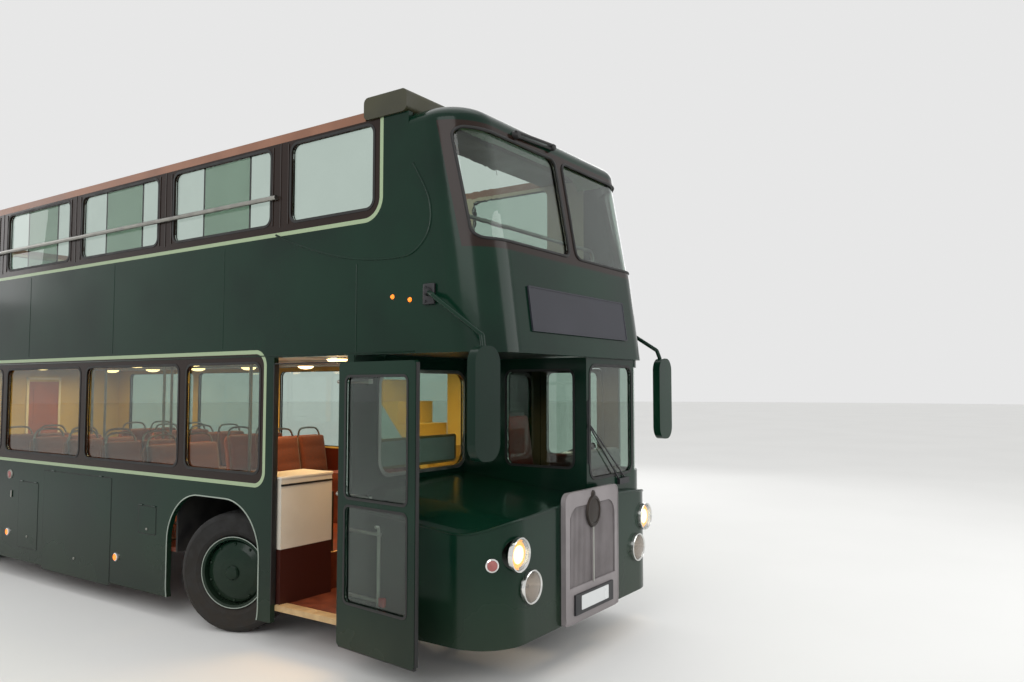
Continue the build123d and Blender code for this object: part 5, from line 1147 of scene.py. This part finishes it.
# %% Blow up one pad
SIM_FRAMES = 20
VOXEL = 0.034
SEAM_HALF = 0.018
CAP = 0.018


def baked(carrier):
    """The mesh of an object with its modifiers carried out."""
    shaped = carrier.evaluated_get(bpy.context.evaluated_depsgraph_get())
    return bpy.data.meshes.new_from_object(shaped)


def blown_pad(name, size, seams):
    """Mesh of a pad that lies on z = 0: the seams are lengthwise places that stay down."""
    bm = bmesh.new()
    block(bm, size, (0, 0, size[2] / 2), min(size) * 0.25)
    mesh = bpy.data.meshes.new(name)
    bm.to_mesh(mesh)
    bm.free()
    pad = bpy.data.objects.new(name, mesh)
    bpy.context.collection.objects.link(pad)
    even = pad.modifiers.new("even_faces", "REMESH")
    even.mode = "VOXEL"
    even.voxel_size = VOXEL
    pad.data = baked(pad)
    pad.modifiers.clear()
    flat = [v.co.copy() for v in pad.data.vertices]
    held = pad.vertex_groups.new(name="held")
    down = [v.index for v in pad.data.vertices
            if v.co.z < size[2] * 0.4 or any(abs(v.co.y - seam) < SEAM_HALF for seam in seams)]
    held.add(down, 1.0, "REPLACE")
    cloth = pad.modifiers.new("cloth", "CLOTH")
    cloth.settings.use_pressure = True
    cloth.settings.uniform_pressure_force = 4
    # The cloth holds the points of its mass group still.
    cloth.settings.vertex_group_mass = "held"
    cloth.settings.effector_weights.gravity = 0
    cloth.point_cache.frame_start = 1
    cloth.point_cache.frame_end = SIM_FRAMES
    for frame_number in range(1, SIM_FRAMES + 1):
        bpy.context.scene.frame_set(frame_number)
    grown = baked(pad)
    for vert, start in zip(grown.vertices, flat):
        move = vert.co - start
        vert.co = start + move * min(1.0, CAP / max(move.length, 1e-9))
    pad.modifiers.clear()
    pad.data = grown
    bpy.context.scene.frame_set(1)
    smooth = pad.modifiers.new("smooth", "SUBSURF")
    smooth.levels = 1
    mesh = baked(pad)
    bpy.data.objects.remove(pad)
    print(name, len(mesh.polygons), "faces")
    return mesh


# %% The two pads
cushion = blown_pad("cushion_pad", (0.395, 0.41, 0.085), (-0.03,))
backrest = blown_pad("backrest_pad", (0.395, 0.46, 0.070), (-0.08, 0.08))

# %% [markdown]
# ## Seats
# Each double seat is a moulded shell on two tube legs, with two bent grab handles over the back and the
# soft pads on it. The parts of one seat are drawn once and copied to the rows.
# Moquette is a short woven pile, matt with a soft sheen. Its weave of about 1 mm is drawn as 2.5 mm, or it
# would not show. The leathercloth of the driver's seat is embossed vinyl, finely pebbled and half matt, and
# that seat gets two copies of the cushion, stretched to its size.

# %% Seat cloth, and copies of a drawing
BACK_LEAN = math.radians(11)
PADS_X = (-0.2, 0.2)
moquette = finish("moquette_woven_brown", "#4a2318", "#62301f", 0.012, (0.75, 0.9), 0.0006, 0.0025,
                  fixed={"Sheen Weight": 0.3, "Sheen Roughness": 0.5})
leather = finish("leathercloth_embossed_maroon", "#3a1110", "#4b1a16", 0.05, (0.4, 0.55), 0.0004, 0.003)


def master(draw):
    """Mesh of a part that is drawn once and copied."""
    bm = bmesh.new()
    draw(bm)
    mesh = bpy.data.meshes.new("master")
    bm.to_mesh(mesh)
    bm.free()
    return mesh


def repeat(mesh, places):
    """One drawing with a copy of the mesh at every place."""
    bm = bmesh.new()
    for place in places:
        done = len(bm.verts)
        bm.from_mesh(mesh)
        bm.verts.ensure_lookup_table()
        bmesh.ops.transform(bm, matrix=place, verts=bm.verts[done:])
    return bm


# %% Shells, legs and handles of one seat
def draw_shell(bm):
    """Pan and leaning back of one double seat."""
    block(bm, (0.81, 0.42, 0.022), (0, -0.305, 0.372), 0.008)
    stand = Matrix.Translation((0, 0.012, 0.620)) @ Matrix.Rotation(-BACK_LEAN, 4, "X") \
        @ Matrix.Rotation(math.pi / 2, 4, "X")
    plate(bm, 0.81, 0.54, 0.09, stand, 0.022)
    for x in (-0.30, 0.30):
        block(bm, (0.05, 0.11, 0.05), (x, -0.05, 0.375), 0.012)


def draw_frame(bm):
    """Legs with their feet, and the grab handles over the back."""
    for x in (-0.27, 0.27):
        rod(bm, (x, -0.20, 0.012), (x, -0.20, 0.362), 0.016)
        rod(bm, (x, -0.42, 0.355), (x, -0.04, 0.355), 0.014)
        block(bm, (0.07, 0.20, 0.012), (x, -0.20, 0.007), 0.003)
    for x in PADS_X:
        arch = [(-0.165, 0.022, 0.84), (-0.160, 0.030, 0.90), (-0.125, 0.040, 0.965), (-0.05, 0.043, 0.976),
                (0.05, 0.043, 0.976), (0.125, 0.040, 0.965), (0.160, 0.030, 0.90), (0.165, 0.022, 0.84)]
        bent(bm, [(x + across, y, z) for across, y, z in arch], 0.011)


shell_mesh = master(draw_shell)
frame_mesh = master(draw_frame)
print("one seat:", len(shell_mesh.polygons), "faces of shell and", len(frame_mesh.polygons), "of tube")

# %% All seats of both decks
SEAT_X = 0.730
SEAT_ROWS = {
    "lower": [(sign * SEAT_X, -0.720 + 0.745 * row, 0.640) for sign in (-1, 1) for row in range(5)],
    "upper": [(-SEAT_X, -3.000 + 0.76 * row, 2.400) for row in range(10)]
    + [(SEAT_X, -1.100 + 0.76 * row, 2.400) for row in range(8)]}
lean = Matrix.Rotation(-BACK_LEAN, 4, "X") @ Matrix.Rotation(math.pi / 2, 4, "X")
for deck, rows in SEAT_ROWS.items():
    places = [Matrix.Translation(place) for place in rows]
    cushions = [place @ Matrix.Translation((x, -0.310, 0.384)) for place in places for x in PADS_X]
    backs = [place @ Matrix.Translation((x, -0.008, 0.665)) @ lean for place in places for x in PADS_X]
    shells = piece(f"{deck}_seat_shells", repeat(shell_mesh, places), shell_plastic)
    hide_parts(f"{deck}_seats")
    piece(f"{deck}_seat_frames", repeat(frame_mesh, places), steel)
    soft = [piece(f"{deck}_seat_cushions", repeat(cushion, cushions), moquette, sharp=80),
            piece(f"{deck}_seat_backs", repeat(backrest, backs), moquette, sharp=80)]
    if deck == "lower":
        wide = Matrix.Diagonal((1.6, 1.0, 1.0, 1.0))
        benches = [(-0.8625, -1.860 + shift, 1.172) for shift in (-0.25, 0.25)]
        benches += [(sign * 0.8625, REAR_AXLE_Y + shift, 1.172)
                    for sign in (-1, 1) for shift in (-0.427, 0, 0.427)]
        pads = [Matrix.Translation(place) @ wide for place in benches]
        soft.append(piece("bench_pads", repeat(cushion, pads), moquette, sharp=80))

# %% The driver's pads
seat_lean = Matrix.Rotation(math.radians(-7.5), 4, "X") @ Matrix.Rotation(math.pi / 2, 4, "X")
pads = [Matrix.Translation((0.675, -4.005, 1.243)) @ Matrix.Diagonal((1.18, 0.86, 0.8, 1)),
        Matrix.Translation((0.675, -3.782, 1.560)) @ seat_lean @ Matrix.Diagonal((1.18, 1.25, 0.8, 1))]
driver_pads = piece("driver_seat_pads", repeat(cushion, pads), leather, sharp=80)

# %% [markdown]
# ## Rear of the bus
# The engine cover gets its louvres and a latch, the walls thin seams and two high lamps. Real louvres are
# pressed out of the sheet. Slanted blocks that stand out of it look the same from outside.

# %% Cover louvres and latch
bm = bmesh.new()
tilt = Matrix.Rotation(math.radians(-28), 4, "X")
for row in range(8):
    block(bm, (0.93, 0.022, 0.010), (0, 4.991, 0.610 + 0.060 * row), 0.004, tilt)
piece("cover_louvres", bm, enamel, "engine_cover_body")
bm = bmesh.new()
block(bm, (0.16, 0.022, 0.035), (0, 4.994, 1.42), 0.008)
turned(bm, [(0.0, 0.022), (0.014, 0.020), (0.018, 0.0)], facing("back", (0, REAR_Y, 1.36)), 24)
piece("cover_latch", bm, steel, "engine_cover_body")

# %% Rear seams and high lamps
bm = bmesh.new()
for x in (-0.80, 0.80):
    rod(bm, (x, REAR_Y, 1.72), (x, REAR_Y, 3.36), 0.003, 8)
for z in (1.72, 2.345, 3.36):
    rod(bm, (-1.09, REAR_Y, z), (1.09, REAR_Y, z), 0.004, 8)
piece("rear_seams", bm, enamel)
bm = bmesh.new()
for x in (-1.02, 1.02):
    turned(bm, [(0.0, 0.022), (0.020, 0.019), (0.034, 0.006), (0.036, 0.0)],
           facing("back", (x, REAR_Y, 3.25)), 28)
piece("rear_high_lamps", bm, ruby)

# %% [markdown]
# ## Small fittings
# The cab door has a bent pull handle with a lock below it, and each mirror's arm leaves a plain bracket
# with a domed boss and two screws. The handle is a bar along a smooth line, which leaves no hard corner.

# %% Cab door handle and mirror brackets
HANDLE_Z = 1.24
bm = bmesh.new()
grip = [(SIDE_X, -3.86), (1.268, -3.86), (1.272, -3.87), (1.272, -3.98), (1.268, -3.99), (SIDE_X, -3.99)]
bent(bm, [(x, y, HANDLE_Z) for x, y in grip], 0.009)
turned(bm, [(0.0, 0.010), (0.014, 0.009), (0.018, 0.0)], facing("left", (SIDE_X, -3.86, 1.17)), 20)
piece("cab_door_handle", bm, steel, "cab_door_body")
bm = bmesh.new()
for side, sign in HANDS:
    block(bm, (0.026, 0.105, 0.150), (sign * 1.263, -4.385, 2.742), 0.010)
    turned(bm, [(0.0, 0.040), (0.018, 0.036), (0.030, 0.020), (0.034, 0.0)],
           facing(side, (sign * 1.27, -4.385, 2.758)), 24)
    for z in (2.69, 2.79):
        turned(bm, [(0.0, 0.010), (0.009, 0.008), (0.011, 0.0)], facing(side, (sign * 1.275, -4.36, z)), 6)
piece("mirror_brackets", bm, plastic)

# %% [markdown]
# ## Floor and light
# A pale floor and a big soft lamp on each side show the form without hard shadows. To the camera, to
# mirrors and to glass the world is the pale grey that the floor has far away, so that the two meet
# softly, and it lights all other surfaces a little more. Warm lights in the saloon and one in the cab
# stand for the rows of opal lamps and for the cab's own. No lamp is seen itself.

# %% Floor
# One round face that reaches past the picture on every side.
FLOOR_RADIUS = 110
bm = bmesh.new()
bmesh.ops.create_circle(bm, cap_ends=True, segments=180, radius=FLOOR_RADIUS)
mesh = bpy.data.meshes.new("studio_floor")
bm.to_mesh(mesh)
bm.free()
floor = bpy.data.objects.new("studio_floor", mesh)
bpy.context.collection.objects.link(floor)
mesh.materials.append(finish("studio_floor_matt_pale", "#e2e2e0", "#e5e5e3", 3.0, (0.85, 0.95)))
print("floor:", 2 * FLOOR_RADIUS, "m wide")


# %% Lamps
def lamp(name, place, target, size, power, colour="#ffffff", mirrored=True):
    """A square soft lamp that faces its target: it isn't seen itself, but polished faces may mirror it."""
    data = bpy.data.lights.new(name, "AREA")
    data.shape = "RECTANGLE"
    data.size, data.size_y = size
    data.energy = power
    data.color = linear(colour)[:3]
    light = bpy.data.objects.new(name, data)
    bpy.context.collection.objects.link(light)
    light.visible_camera = light.visible_transmission = False
    light.visible_glossy = mirrored
    light.location = place
    light.rotation_euler = (Vector(target) - Vector(place)).to_track_quat("-Z", "Y").to_euler()


lamp("key_lamp", (-11, -7, 8), (0, -1, 1.8), (8, 6), 420)
lamp("front_lamp", (4, -14, 6), (0, -3, 2), (7, 5), 260)
lamp("left_lamp", (12, 2, 7), (0, 0, 2), (8, 6), 260)
lamp("rear_lamp", (-3, 14, 7), (0, 3, 2), (8, 6), 220)
lamp("top_lamp", (0, 0, 12), (0, 0, 0), (8, 14), 220)
for row, y in enumerate((-3.0, -1.2, 0.8, 2.8)):
    lamp(f"saloon_light_{row}", (0, y, 2.28), (0, y, 0), (1.4, 1.2), 38, "#ffcf8c", False)
lamp("cab_light", (0.65, -4.20, 2.25), (0.5, -4.5, 1.4), (0.5, 0.4), 9, "#ffe6c4", False)
print("lamps:", len(bpy.data.lights))

# %% World
LIGHT_LEVEL = 0.9
SEEN_LEVEL = 0.8
world = bpy.data.worlds.new("studio_world")
bpy.context.scene.world = world
world.use_nodes = True
rays = add(world, "LightPath").outputs
seen = rays["Is Camera Ray"]
for kind in ("Is Glossy Ray", "Is Transmission Ray"):
    seen = add(world, "Math", {0: seen, 1: rays[kind]}, operation="MAXIMUM").outputs[0]
level = add(world, "MapRange", {"Value": seen}, {"To Min": LIGHT_LEVEL, "To Max": SEEN_LEVEL})
backdrop = world.node_tree.nodes["Background"]
backdrop.inputs["Color"].default_value = (1, 1, 1, 1)
world.node_tree.links.new(level.outputs["Result"], backdrop.inputs["Strength"])
bpy.context.scene.view_settings.view_transform = "Standard"
print("world:", LIGHT_LEVEL, "as light and", SEEN_LEVEL, "as it is seen")
